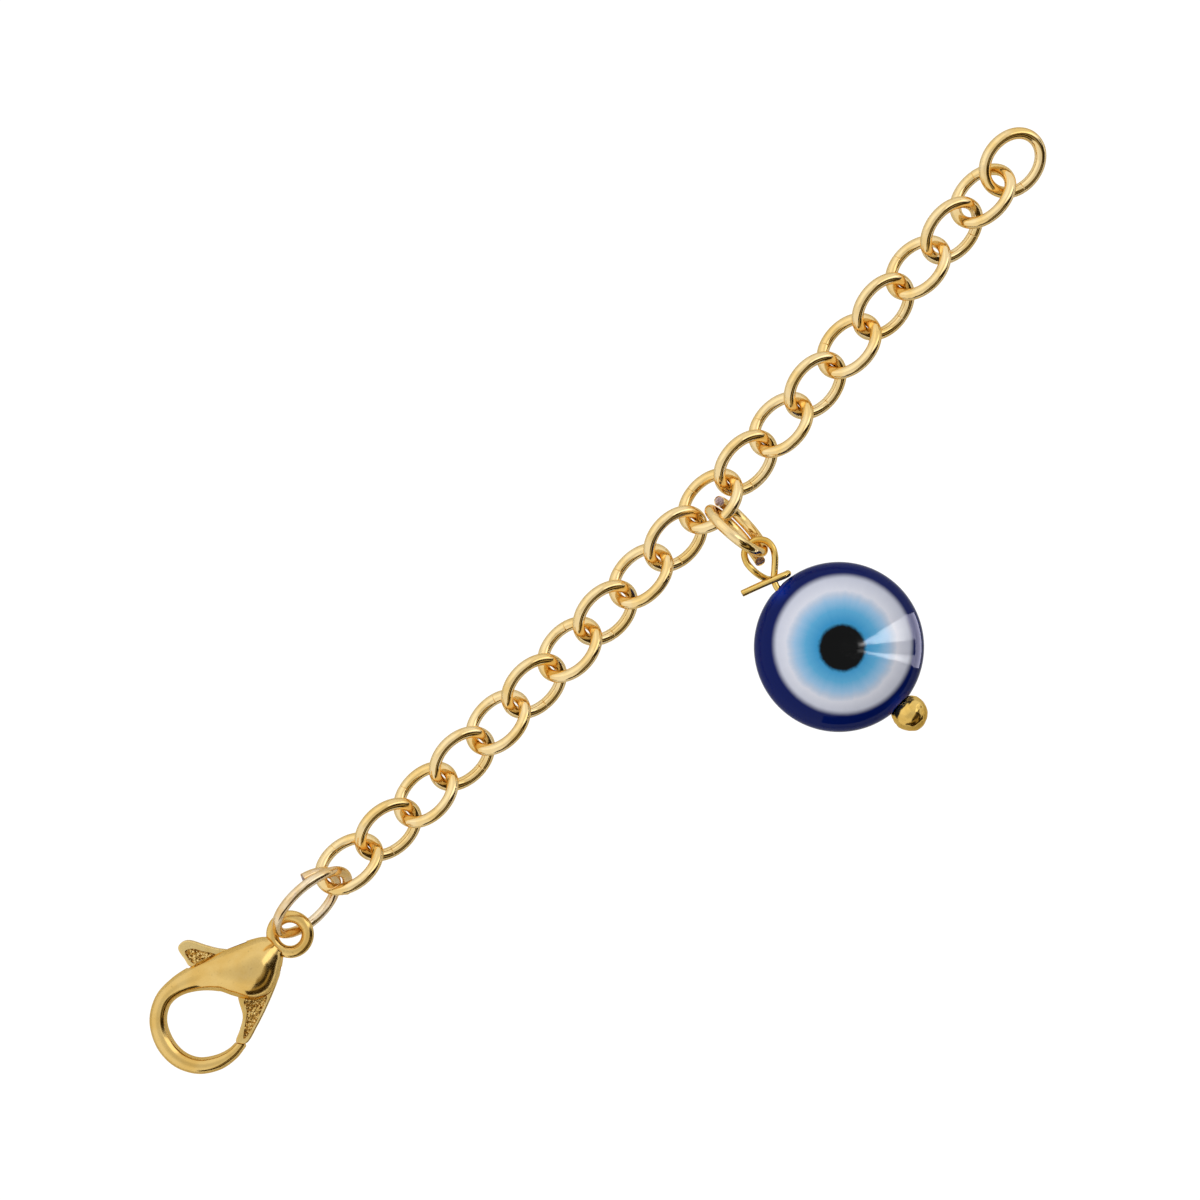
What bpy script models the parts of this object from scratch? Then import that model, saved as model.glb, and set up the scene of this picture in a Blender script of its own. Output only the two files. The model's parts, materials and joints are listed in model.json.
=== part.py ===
"""Evil eye charm on a short extender chain.

A lobster clasp, an open jump ring and twenty oval links lie in a line along X, and the
charm (jump ring, ball-head pin and a layered eye bead) hangs off the middle link along -Y.
Metres, +Z up. The origin is under the middle of the footprint, on the surface the piece lies on.
"""
import math

import bmesh
import bpy
import numpy as np
from mathutils import Matrix, Vector

MM = 0.001

# Footprint: where the middle of the charm link lies, seen from the origin
CHARM_LINK_X = 10.28 * MM
CHARM_LINK_Y = 7.93 * MM

# Chain
LINK_COUNT = 20
CHARM_LINK = 10
LINK_LENGTH = 5.41 * MM
LINK_WIDTH = 4.57 * MM
LINK_WIRE = 0.86 * MM
LINK_TILT = math.radians(38)
END_LINK_TILT = math.radians(18)
PITCH_TO_END = 3.68 * MM
PITCH_TO_CLASP = 3.61 * MM
PITCH_SLACK = 3.15 * MM
SLACK_LINKS = 3
LINK_POINTS = 20

# The chain's gentle bends, in millimetres from the charm link: along X, aside (Y) and lift (Z)
CHAIN_ROUTE = ((-38.5, 1.30, 1.15), (-34.3, 0.88, 0.26), (-30.7, 0.50, 0.04), (-27.0, 0.38, 0.0),
               (-18.0, 0.12, 0.0), (-7.3, -0.05, 0.0), (7.3, 0.05, 0.0), (18.3, 0.55, 0.0),
               (25.6, 0.69, 0.0), (35.0, 0.90, 0.0))

# Clasp ring: an open ring wound about 1.4 turns; degrees of winding, its radius true at mid-winding
CLASP_RING_RADIUS = 2.71 * MM
CLASP_RING_WIRE = 0.75 * MM
CLASP_RING_CENTRE = (-40.00 * MM, 2.80 * MM)
CLASP_RING_FIRST_Y = 1.60 * MM
CLASP_RING_PITCH = 0.54 * MM
CLASP_RING_LEAN = 1.25 * MM
CLASP_RING_GROWTH = 0.64 * MM
CLASP_RING_TRUE_TURN = 0.45
CLASP_RING_START = 70.6
CLASP_RING_SWEEP = 481.0
CLASP_RING_POINTS = 44

CLASP_RING_HOLD = (-37.25 * MM, 1.25 * MM, 2.80 * MM)

# Charm ring: the same kind of ring, hung on the charm link's raised side
CHARM_RING_RADIUS = 2.33 * MM
CHARM_RING_WIRE = 0.80 * MM
CHARM_RING_CENTRE = (-2.72 * MM, 2.76 * MM)
CHARM_RING_FIRST_X = 0.32 * MM
CHARM_RING_PITCH = 0.88 * MM
CHARM_RING_LEAN = 0.50 * MM
CHARM_RING_START = -12.0
CHARM_RING_SWEEP = 508.0
CHARM_RING_FLARE = 0.62 * MM
CHARM_RING_FLARE_SWEEP = 75.0
CHARM_RING_POINTS = 44
CHARM_RAIL = (0.0, -1.46 * MM, 2.70 * MM)
PIN_HOLD = (-0.5 * MM, -5.1 * MM, 2.5 * MM)

# Ball-head pin and bead
CHARM_AXIS_X = -1.30 * MM
CHARM_AXIS_Z = 2.50 * MM
PIN_WIRE = 0.48 * MM
BALL_RADIUS = 1.26 * MM
BALL_Y = -20.46 * MM
BEAD_Y = -13.65 * MM
BEAD_RADIUS = 6.0 * MM
BEAD_HALF = 2.5 * MM
BEAD_HOLE = 0.32 * MM
BEAD_LAND = 0.9 * MM
BEAD_STEPS = 40
BEAD_FULLNESS = 2.6
RIM_STEPS = 6
BALL_SIDES = 20
WHITE_RADIUS = 5.0 * MM
IRIS_RADIUS = 3.42 * MM
PUPIL_RADIUS = 1.65 * MM
LAYER_FLOOR = 1.2 * MM
LAYER_GAP = 0.03 * MM

# Clasp
CLASP_Z = 1.65 * MM
EYE_CENTRE = (-42.65 * MM, 0.68 * MM)
EYE_RADIUS = 1.18 * MM
EYE_WIRE = 0.74 * MM
BODY_SIDES = 16
PIVOT = (-46.1 * MM, 1.10 * MM)
SLOT_HALF = 0.45 * MM
LEVER_HALF = 0.41 * MM
RIVET_RADIUS = 0.35 * MM
RIVET_BOTTOM = 0.35 * MM
RIVET_TOP = 2.60 * MM
RUNNING_GAP = 0.04 * MM
GATE_REACH = 5.48 * MM
GATE_DEPTH = 1.2 * MM
GATE_ARC = (198, 231)
SPRING_RADIUS = 0.58 * MM
SPRING_WIRE = 0.10 * MM
SPRING_TURNS = 2.5

# Clasp body from the eye to the hook's tip, in millimetres from the charm link: at each section
# the x and y of its outer and its inner edge, and half the thickness there
CLASP_SECTIONS = ((-43.95, 1.80, -43.97, 0.06, 0.72), (-44.30, 2.12, -44.45, -0.30, 1.02),
                  (-45.00, 2.55, -45.45, -0.92, 1.41), (-45.90, 3.00, -46.60, -1.20, 1.60),
                  (-46.70, 3.38, -47.75, -0.72, 1.60), (-47.45, 3.70, -48.50, 0.48, 1.46),
                  (-48.20, 4.00, -48.98, 1.50, 1.26), (-48.95, 4.25, -49.85, 2.51, 1.02),
                  (-50.64, 4.65, -50.96, 3.25, 0.84), (-52.36, 4.60, -52.04, 3.40, 0.76),
                  (-53.95, 3.69, -53.05, 2.81, 0.74), (-54.93, 2.05, -53.67, 1.65, 0.74),
                  (-55.05, 0.25, -53.79, 0.45, 0.73), (-54.32, -1.32, -53.38, -0.58, 0.72),
                  (-53.01, -2.29, -52.49, -1.31, 0.68), (-51.67, -2.59, -51.53, -1.69, 0.60),
                  (-50.59, -2.50, -50.61, -1.74, 0.50))

# Lever seen from above, in millimetres from the charm link: thumb tab, heel, then gate arm
LEVER_OUTLINE = ((-45.35, 1.85), (-46.0, 2.6), (-46.8, 3.61), (-47.3, 4.5), (-47.75, 5.45), (-48.15, 5.82),
                 (-48.6, 5.85), (-48.85, 5.6), (-49.0, 4.9), (-49.08, 4.2), (-48.2, 3.2), (-47.25, 1.9),
                 (-47.6, 1.1), (-48.42, 0.25), (-49.1, -0.83), (-49.95, -1.35), (-50.80, -1.73),
                 (-50.30, -2.39), (-49.1, -2.12), (-47.6, -1.68), (-45.9, -1.05), (-44.95, -0.5), (-44.9, 0.5))

# Slot for the lever through the clasp body, open to both sides
SLOT_OUTLINE = ((-44.75, 1.0), (-45.1, 2.0), (-45.2, 7.0), (-49.9, 7.0), (-49.35, 4.15), (-47.8, 2.1),
                (-48.9, 1.65), (-49.7, 1.0), (-49.6, -1.4), (-48.0, -4.0), (-44.6, -4.0))

# The pin's wire beyond the bead: up the far side of the loop, round, under the neck, up and
# over it to the loose tail; millimetres, x and y from the charm link and z from the pin's axis
PIN_WIRE_ROUTE = ((-1.30, -7.9, 0.0), (-1.22, -7.45, 0.0), (-0.95, -7.0, 0.0), (-0.42, -6.55, 0.02),
                  (0.20, -6.0, 0.05), (0.58, -5.4, 0.05), (0.61, -4.75, 0.0), (0.18, -4.2, 0.0),
                  (-0.45, -4.05, 0.0), (-1.05, -4.22, 0.0), (-1.42, -4.75, 0.0), (-1.52, -5.4, -0.05),
                  (-1.46, -6.1, -0.30), (-1.24, -6.75, -0.56), (-0.75, -7.15, -0.58), (-0.25, -7.4, -0.42),
                  (-0.02, -7.45, 0.0), (-0.20, -7.38, 0.42), (-0.70, -7.15, 0.58), (-1.35, -6.85, 0.58),
                  (-2.30, -6.45, 0.50), (-3.30, -6.05, 0.42))

COLLECTION = "evil_eye_charm"
GOLD = (0.80, 0.60, 0.27)
PALE_GOLD = (0.84, 0.70, 0.48)
DEEP_GOLD = (0.74, 0.52, 0.16)
STEEL = (0.62, 0.62, 0.60)
NAVY = (0.010, 0.014, 0.130)
WHITE = (0.80, 0.81, 0.88)
SKY = (0.16, 0.46, 0.72)
BLACK = (0.008, 0.010, 0.014)


def clear_scene():
    for item in list(bpy.data.objects):
        bpy.data.objects.remove(item, do_unlink=True)


def new_collection(name):
    collection = bpy.data.collections.new(name)
    bpy.context.scene.collection.children.link(collection)
    return collection


def make_material(name, colour, roughness, metallic):
    material = bpy.data.materials.new(name)
    material.use_nodes = True
    shader = material.node_tree.nodes["Principled BSDF"]
    shader.inputs["Base Color"].default_value = (*colour, 1.0)
    shader.inputs["Roughness"].default_value = roughness
    shader.inputs["Metallic"].default_value = metallic
    return material


def add_object(name, data, collection, material=None):
    item = bpy.data.objects.new(name, data)
    collection.objects.link(item)
    if data and material:
        data.materials.append(material)
    return item


def mesh_from_bmesh(name, shape):
    mesh = bpy.data.meshes.new(name)
    bmesh.ops.recalc_face_normals(shape, faces=shape.faces)
    shape.to_mesh(mesh)
    shape.free()
    mesh.shade_smooth()
    return mesh


def charm_place(place):
    """A place given from the charm link's middle, seen from the origin."""
    return Vector((CHARM_LINK_X + place[0], CHARM_LINK_Y + place[1], place[2]))


def wire_curve(name, points, wire, cyclic=False, resolution=2):
    curve = bpy.data.curves.new(name, "CURVE")
    curve.dimensions = "3D"
    curve.bevel_depth = wire / 2
    curve.bevel_resolution = resolution
    curve.use_fill_caps = not cyclic
    spline = curve.splines.new("POLY")
    spline.points.add(len(points) - 1)
    spline.use_cyclic_u = cyclic
    for point, place in zip(spline.points, points):
        point.co = (*place, 1.0)
    return curve


def curve_to_mesh(item, collection, material):
    """Turns a curve object into a mesh object with its caps welded on."""
    graph = bpy.context.evaluated_depsgraph_get()
    mesh = bpy.data.meshes.new_from_object(item.evaluated_get(graph))
    name = item.name
    place = item.matrix_world.copy()
    bpy.data.objects.remove(item, do_unlink=True)
    shape = bmesh.new()
    shape.from_mesh(mesh)
    bmesh.ops.remove_doubles(shape, verts=shape.verts, dist=1e-7)
    shape.to_mesh(mesh)
    shape.free()
    mesh.materials.clear()
    solid = add_object(name, mesh, collection, material)
    solid.matrix_world = place
    return solid


def flat_solid(name, outline, half, centre_z, collection, material=None):
    """A flat outline in XY, given round its edge, made into a plate 2 * half thick."""
    curve = bpy.data.curves.new(name, "CURVE")
    curve.dimensions = "2D"
    curve.fill_mode = "BOTH"
    curve.extrude = half
    spline = curve.splines.new("POLY")
    spline.points.add(len(outline) - 1)
    spline.use_cyclic_u = True
    for point, place in zip(spline.points, outline):
        point.co = (place[0], place[1], 0.0, 1.0)
    item = add_object(name, curve, collection)
    item.location = (0.0, 0.0, centre_z)
    bpy.context.view_layer.update()
    return curve_to_mesh(item, collection, material)


def hide_cutter(item):
    item.hide_render = True
    item.display_type = "WIRE"


def add_boolean(item, other, operation):
    step = item.modifiers.new(other.name, "BOOLEAN")
    step.operation = operation
    step.object = other
    hide_cutter(other)


def cylinder(name, radius, depth, place, axis, collection, segments=24, material=None):
    shape = bmesh.new()
    bmesh.ops.create_cone(shape, cap_ends=True, segments=segments, radius1=radius, radius2=radius, depth=depth)
    item = add_object(name, mesh_from_bmesh(name, shape), collection, material)
    item.location = place
    item.rotation_mode = "QUATERNION"
    item.rotation_quaternion = Vector((0, 0, 1)).rotation_difference(Vector(axis))
    return item


def sphere(name, radius, place, collection):
    shape = bmesh.new()
    bmesh.ops.create_uvsphere(shape, u_segments=BALL_SIDES, v_segments=12, radius=radius)
    item = add_object(name, mesh_from_bmesh(name, shape), collection)
    item.location = place
    return item


def hang(name, place, pieces, collection):
    """An empty on a joint's axis that carries the pieces which turn about it."""
    pivot = add_object(name, None, collection)
    pivot.location = place
    bpy.context.view_layer.update()
    for piece in pieces:
        piece.parent = pivot
        piece.matrix_parent_inverse = pivot.matrix_world.inverted()
    return pivot


def smooth_route(points, steps):
    """A Catmull-Rom curve through the points, with this many steps between two of them."""
    points = [Vector(p) for p in points]
    ends = [2 * points[0] - points[1], *points, 2 * points[-1] - points[-2]]
    route = []
    for i in range(1, len(ends) - 2):
        a, b, c, d = ends[i - 1 : i + 3]
        for k in range(steps):
            t = k / steps
            route.append(0.5 * (2 * b + (c - a) * t + (2 * a - 5 * b + 4 * c - d) * t * t
                                + (3 * b - a - 3 * c + d) * t * t * t))
    route.append(ends[-2])
    return route


# ---------------------------------------------------------------- chain

def contact_positions():
    """Where each pair of neighbouring links crosses, as x from the charm link, end link first."""
    middle = [0.0] * (LINK_COUNT - 1)
    x = PITCH_TO_END / 2
    for j in range(CHARM_LINK - 2, -1, -1):
        middle[j] = x
        gap_to_next = PITCH_TO_END if j + 1 > SLACK_LINKS else PITCH_SLACK
        x += (gap_to_next + PITCH_TO_END) / 2 if j + 1 == SLACK_LINKS else gap_to_next
    x = -PITCH_TO_CLASP / 2
    for j in range(CHARM_LINK - 1, LINK_COUNT - 1):
        middle[j] = x
        x -= PITCH_TO_CLASP
    return [middle[0] + PITCH_SLACK, *middle, middle[-1] - PITCH_TO_CLASP]


def resting_height(tilt):
    return (LINK_WIDTH - LINK_WIRE) / 2 * math.sin(tilt) + LINK_WIRE / 2


def route_point(x):
    along = [p[0] * MM for p in CHAIN_ROUTE]
    aside = np.interp(x, along, [p[1] * MM for p in CHAIN_ROUTE])
    lift = np.interp(x, along, [p[2] * MM for p in CHAIN_ROUTE])
    return Vector((CHARM_LINK_X + x, CHARM_LINK_Y + float(aside), resting_height(LINK_TILT) + float(lift)))


def link_places():
    """The matrix of each link: its long side along the chain, tilted one way and then the other."""
    contacts = [route_point(x) for x in contact_positions()]
    places = []
    for i in range(LINK_COUNT):
        along = (contacts[i] - contacts[i + 1]).normalized()
        aside = Vector((0, 0, 1)).cross(along).normalized()
        upright = along.cross(aside)
        frame = Matrix((along, aside, upright)).transposed().to_4x4()
        tilt = LINK_TILT if i % 2 == 0 else -LINK_TILT
        if i == 0:
            tilt = END_LINK_TILT
        frame.translation = (contacts[i] + contacts[i + 1]) / 2
        places.append(frame @ Matrix.Rotation(tilt, 4, "X"))
    return places


def build_chain(collection, material):
    half_length = (LINK_LENGTH - LINK_WIRE) / 2
    half_width = (LINK_WIDTH - LINK_WIRE) / 2
    turns = [2 * math.pi * k / LINK_POINTS for k in range(LINK_POINTS)]
    oval = [(half_length * math.cos(a), half_width * math.sin(a), 0.0) for a in turns]
    curve = wire_curve("chain_link", oval, LINK_WIRE, cyclic=True)
    curve.materials.append(material)
    places = link_places()
    for number, place in enumerate(places, start=1):
        link = add_object(f"chain_link_{number:02d}", curve, collection)
        link.matrix_world = place
        if number < LINK_COUNT:
            end_bar = places[number] @ Vector((half_length, 0.0, 0.0))
            hang(f"link_{number:02d}_axis", end_bar, [link], collection)
        else:
            hang(f"link_{number:02d}_axis", charm_place(CLASP_RING_HOLD), [link], collection)


# ---------------------------------------------------------------- rings

def clasp_ring_points():
    points = []
    for k in range(CLASP_RING_POINTS + 1):
        swept = CLASP_RING_SWEEP * k / CLASP_RING_POINTS
        angle = math.radians(CLASP_RING_START - swept)
        radius = CLASP_RING_RADIUS + CLASP_RING_GROWTH * (swept / 360 - CLASP_RING_TRUE_TURN)
        height = math.sqrt(radius ** 2 - CLASP_RING_LEAN ** 2)
        aside = CLASP_RING_FIRST_Y - CLASP_RING_PITCH * swept / 360 + CLASP_RING_LEAN * math.sin(angle)
        points.append(charm_place((CLASP_RING_CENTRE[0] + radius * math.cos(angle), aside,
                                   CLASP_RING_CENTRE[1] + height * math.sin(angle))))
    return points


def charm_ring_points():
    """The winding, with its last part flared outwards so the cut end stands clear."""
    points = []
    for k in range(CHARM_RING_POINTS + 1):
        swept = CHARM_RING_SWEEP * k / CHARM_RING_POINTS
        angle = math.radians(CHARM_RING_START - swept)
        opened = max(0.0, swept - CHARM_RING_SWEEP + CHARM_RING_FLARE_SWEEP) / CHARM_RING_FLARE_SWEEP
        radius = CHARM_RING_RADIUS + CHARM_RING_FLARE * opened ** 2
        along = CHARM_RING_FIRST_X - CHARM_RING_PITCH * swept / 360 - CHARM_RING_LEAN * math.sin(angle)
        points.append(charm_place((along, CHARM_RING_CENTRE[0] + radius * math.cos(angle),
                                   CHARM_RING_CENTRE[1] + radius * math.sin(angle))))
    return points


def build_rings(collection, clasp_material, charm_material):
    clasp_wire = wire_curve("clasp_ring", clasp_ring_points(), CLASP_RING_WIRE)
    clasp_ring = add_object("clasp_ring", clasp_wire, collection, clasp_material)
    hang("clasp_ring_axis", charm_place((EYE_CENTRE[0] + EYE_RADIUS, EYE_CENTRE[1], CLASP_Z)), [clasp_ring], collection)
    charm_wire = wire_curve("charm_ring", charm_ring_points(), CHARM_RING_WIRE)
    charm_ring = add_object("charm_ring", charm_wire, collection, charm_material)
    hang("charm_ring_axis", charm_place(CHARM_RAIL), [charm_ring], collection)


# ---------------------------------------------------------------- pin and bead

def build_head_pin(collection, cutters, material):
    start = charm_place((CHARM_AXIS_X, BALL_Y, CHARM_AXIS_Z))
    bend = [charm_place((x * MM, y * MM, CHARM_AXIS_Z + z * MM)) for x, y, z in PIN_WIRE_ROUTE]
    points = [start, *smooth_route(bend, 3)]
    wire = add_object("head_pin", wire_curve("head_pin", points, PIN_WIRE), collection)
    bpy.context.view_layer.update()
    pin = curve_to_mesh(wire, collection, material)
    ball = sphere("pin_ball", BALL_RADIUS, start, cutters)
    add_boolean(pin, ball, "UNION")
    hang("head_pin_axis", charm_place(PIN_HOLD), [pin], collection)


def dome_height(radius):
    """Half the bead's thickness this far from its middle: nearly flat, with a full round rim."""
    if radius <= BEAD_LAND:
        return BEAD_HALF
    reach = (radius - BEAD_LAND) / (BEAD_RADIUS - BEAD_LAND)
    return BEAD_HALF * math.sqrt(max(0.0, 1 - reach ** BEAD_FULLNESS))


def turned(name, profile, closed, place, collection, material, steps=BEAD_STEPS):
    """A solid turned about Z from a profile of (radius, height) that runs down its outer side."""
    mesh = bpy.data.meshes.new(name)
    edges = [(k, k + 1) for k in range(len(profile) - 1)]
    if closed:
        edges.append((len(profile) - 1, 0))
    mesh.from_pydata([(r, 0.0, z) for r, z in profile], edges, [])
    item = add_object(name, mesh, collection, material)
    item.location = place
    screw = item.modifiers.new("turn", "SCREW")
    screw.steps = steps
    screw.render_steps = steps
    screw.use_merge_vertices = True
    screw.merge_threshold = 1e-6
    screw.use_smooth_shade = True
    return item


def dome_run(inner, outer, count):
    return [(inner + (outer - inner) * k / count, dome_height(inner + (outer - inner) * k / count))
            for k in range(count + 1)]


def build_bead(collection, cutters, materials):
    middle = charm_place((CHARM_AXIS_X, BEAD_Y, CHARM_AXIS_Z))
    rim_radii = [WHITE_RADIUS + (BEAD_RADIUS - WHITE_RADIUS) * math.sin(math.pi / 2 * k / RIM_STEPS)
                 for k in range(RIM_STEPS + 1)]
    upper = [(r, dome_height(r)) for r in rim_radii]
    lower = [(r, -z) for r, z in reversed(upper[:-1])]
    profile = [(0.0, LAYER_FLOOR), (WHITE_RADIUS, LAYER_FLOOR), *upper, *lower,
               (WHITE_RADIUS, -LAYER_FLOOR), (0.0, -LAYER_FLOOR)]
    body = turned("bead_body", profile, False, middle, collection, materials["navy"])
    hole = cylinder("bead_hole", BEAD_HOLE, 2.4 * BEAD_RADIUS, middle, (0, 1, 0), cutters, segments=12)
    add_boolean(body, hole, "DIFFERENCE")
    seat = sphere("ball_seat", BALL_RADIUS + 2 * RUNNING_GAP,
                  charm_place((CHARM_AXIS_X, BALL_Y, CHARM_AXIS_Z)), cutters)
    add_boolean(body, seat, "DIFFERENCE")

    floor = LAYER_FLOOR + LAYER_GAP
    layers = {"white": (IRIS_RADIUS + LAYER_GAP, WHITE_RADIUS - LAYER_GAP),
              "iris": (PUPIL_RADIUS + LAYER_GAP, IRIS_RADIUS), "pupil": (0.0, PUPIL_RADIUS)}
    for side, flip in (("front", 0.0), ("back", math.pi)):
        for layer, (inner, outer) in layers.items():
            top = dome_run(inner, outer, 3)
            closed = inner > 0
            piece = turned(f"{layer}_{side}", [*top, (outer, floor), (inner, floor)], closed,
                           middle, collection, materials[layer])
            piece.rotation_euler = (flip, 0.0, 0.0)


# ---------------------------------------------------------------- clasp

def loft(name, sections, sides):
    """A closed tube through oval sections: outer edge, inner edge and half thickness of each."""
    shape = bmesh.new()
    rings = []
    for outer_x, outer_y, inner_x, inner_y, half_thick in sections:
        middle = Vector((outer_x + inner_x, outer_y + inner_y, 2 * CLASP_Z)) / 2
        inward = Vector((inner_x - outer_x, inner_y - outer_y, 0)) / 2
        ring = []
        for s in range(sides):
            angle = 2 * math.pi * s / sides
            rise = Vector((0, 0, half_thick * math.sin(angle)))
            ring.append(shape.verts.new(middle + inward * math.cos(angle) + rise))
        rings.append(ring)
    for first, second in zip(rings, rings[1:]):
        for s in range(sides):
            t = (s + 1) % sides
            shape.faces.new((first[s], first[t], second[t], second[s]))
    shape.faces.new(rings[0])
    shape.faces.new(rings[-1])
    return mesh_from_bmesh(name, shape)


def clasp_sections():
    offset = Vector((CHARM_LINK_X, CHARM_LINK_Y, CHARM_LINK_X, CHARM_LINK_Y, 0))
    return [Vector(s) + offset for s in smooth_route([[v * MM for v in row] for row in CLASP_SECTIONS], 3)]


def placed(outline):
    return [(CHARM_LINK_X + x * MM, CHARM_LINK_Y + y * MM) for x, y in outline]


def gate_clearance_outline():
    """A band beyond the gate's tip, on the arc that the tip sweeps about the pivot."""
    pivot = Vector((CHARM_LINK_X + PIVOT[0], CHARM_LINK_Y + PIVOT[1]))
    outer = GATE_REACH + 2 * RUNNING_GAP
    inner = GATE_REACH - GATE_DEPTH
    arc = [math.radians(a) for a in range(*GATE_ARC, 4)]
    points = [(pivot.x + outer * math.cos(a), pivot.y + outer * math.sin(a)) for a in arc]
    points += [(pivot.x + inner * math.cos(a), pivot.y + inner * math.sin(a)) for a in reversed(arc)]
    return points


def build_clasp(collection, cutters, material):
    body = add_object("clasp_body", loft("clasp_body", clasp_sections(), BODY_SIDES), collection, material)
    bpy.ops.mesh.primitive_torus_add(major_radius=EYE_RADIUS, minor_radius=EYE_WIRE / 2,
                                     major_segments=28, minor_segments=10,
                                     location=charm_place((*EYE_CENTRE, CLASP_Z)))
    eye = bpy.context.active_object
    eye.name = "clasp_eye"
    for owner in list(eye.users_collection):
        owner.objects.unlink(eye)
    cutters.objects.link(eye)
    add_boolean(body, eye, "UNION")
    slot = flat_solid("lever_slot", placed(SLOT_OUTLINE), SLOT_HALF, CLASP_Z, cutters)
    add_boolean(body, slot, "DIFFERENCE")
    band = flat_solid("gate_clearance", gate_clearance_outline(), 2 * SLOT_HALF, CLASP_Z, cutters)
    add_boolean(body, band, "DIFFERENCE")
    bore = cylinder("rivet_bore", RIVET_RADIUS + RUNNING_GAP, RIVET_TOP + RUNNING_GAP,
                    charm_place((*PIVOT, (RIVET_TOP - RUNNING_GAP) / 2)), (0, 0, 1), cutters)
    add_boolean(body, bore, "DIFFERENCE")


def build_lever(collection, cutters, material):
    lever = flat_solid("clasp_lever", placed(LEVER_OUTLINE), LEVER_HALF, CLASP_Z, collection, material)
    pivot = charm_place((*PIVOT, CLASP_Z))
    bore = cylinder("lever_bore", RIVET_RADIUS + RUNNING_GAP, 4 * LEVER_HALF, pivot, (0, 0, 1), cutters)
    add_boolean(lever, bore, "DIFFERENCE")
    recess_depth = 1.2 * LEVER_HALF
    recess = cylinder("spring_recess", SPRING_RADIUS + SPRING_WIRE, 2 * recess_depth,
                      (pivot[0], pivot[1], CLASP_Z - LEVER_HALF), (0, 0, 1), cutters)
    add_boolean(lever, recess, "DIFFERENCE")
    hang("clasp_lever_axis", pivot, [lever], collection)


def build_rivet(collection, material):
    middle = charm_place((*PIVOT, (RIVET_BOTTOM + RIVET_TOP) / 2))
    cylinder("lever_rivet", RIVET_RADIUS, RIVET_TOP - RIVET_BOTTOM, middle, (0, 0, 1), collection,
             segments=20, material=material)


def build_spring(collection, material):
    """A torsion spring round the rivet, in the lever's recess."""
    low = CLASP_Z - LEVER_HALF + 0.7 * SPRING_WIRE
    rise = 1.15 * SPRING_WIRE
    per_turn = 14
    points = []
    for k in range(int(SPRING_TURNS * per_turn) + 1):
        angle = 2 * math.pi * k / per_turn
        points.append(charm_place((PIVOT[0] + SPRING_RADIUS * math.cos(angle),
                                   PIVOT[1] + SPRING_RADIUS * math.sin(angle), low + rise * k / per_turn)))
    spring = wire_curve("lever_spring", points, SPRING_WIRE, resolution=1)
    add_object("lever_spring", spring, collection, material)


def main():
    clear_scene()
    collection = new_collection(COLLECTION)
    cutters = new_collection("cutters")
    gold = make_material("gold", GOLD, 0.16, 1.0)
    pale = make_material("pale_gold", PALE_GOLD, 0.2, 1.0)
    deep = make_material("deep_gold", DEEP_GOLD, 0.22, 1.0)
    steel = make_material("steel", STEEL, 0.3, 1.0)
    resin = {"navy": make_material("navy_resin", NAVY, 0.08, 0.0),
             "white": make_material("white_resin", WHITE, 0.08, 0.0),
             "iris": make_material("sky_resin", SKY, 0.08, 0.0),
             "pupil": make_material("black_resin", BLACK, 0.08, 0.0)}
    build_chain(collection, gold)
    build_rings(collection, pale, gold)
    build_head_pin(collection, cutters, gold)
    build_bead(collection, cutters, resin)
    build_clasp(collection, cutters, deep)
    build_lever(collection, cutters, deep)
    build_rivet(collection, steel)
    build_spring(collection, steel)


main()
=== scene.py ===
"""Looks of the evil eye ornament: fine meshes, materials, floor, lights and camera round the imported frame."""
import json
import math

import bmesh
import bpy
import numpy as np
from mathutils import Matrix, Vector, noise

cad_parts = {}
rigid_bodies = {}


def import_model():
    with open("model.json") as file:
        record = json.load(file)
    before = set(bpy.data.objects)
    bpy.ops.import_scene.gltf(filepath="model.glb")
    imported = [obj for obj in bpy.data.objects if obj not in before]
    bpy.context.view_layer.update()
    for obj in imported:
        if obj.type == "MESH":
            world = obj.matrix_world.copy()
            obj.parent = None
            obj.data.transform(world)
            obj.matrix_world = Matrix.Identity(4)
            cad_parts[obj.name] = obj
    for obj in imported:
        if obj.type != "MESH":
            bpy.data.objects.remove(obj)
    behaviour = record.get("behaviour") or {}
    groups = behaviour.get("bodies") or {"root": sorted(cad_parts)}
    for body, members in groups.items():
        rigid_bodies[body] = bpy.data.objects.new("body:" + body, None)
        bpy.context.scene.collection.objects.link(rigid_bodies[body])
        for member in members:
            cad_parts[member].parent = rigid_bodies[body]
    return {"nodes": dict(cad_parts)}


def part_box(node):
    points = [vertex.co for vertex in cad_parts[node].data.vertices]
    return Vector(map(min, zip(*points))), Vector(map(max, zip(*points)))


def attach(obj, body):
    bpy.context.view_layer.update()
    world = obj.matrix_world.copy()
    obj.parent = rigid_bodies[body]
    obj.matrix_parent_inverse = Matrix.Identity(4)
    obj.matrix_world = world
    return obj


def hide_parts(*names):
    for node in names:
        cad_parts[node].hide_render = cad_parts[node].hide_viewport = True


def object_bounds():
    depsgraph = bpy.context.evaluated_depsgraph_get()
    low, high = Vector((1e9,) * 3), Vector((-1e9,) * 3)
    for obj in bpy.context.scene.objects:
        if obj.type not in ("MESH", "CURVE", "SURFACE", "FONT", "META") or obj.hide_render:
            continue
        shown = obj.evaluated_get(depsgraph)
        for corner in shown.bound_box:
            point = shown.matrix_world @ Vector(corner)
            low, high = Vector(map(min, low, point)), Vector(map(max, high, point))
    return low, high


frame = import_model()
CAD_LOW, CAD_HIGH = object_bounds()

MM = 0.001
SCENE = bpy.context.scene
NODES = frame["nodes"]

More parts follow.
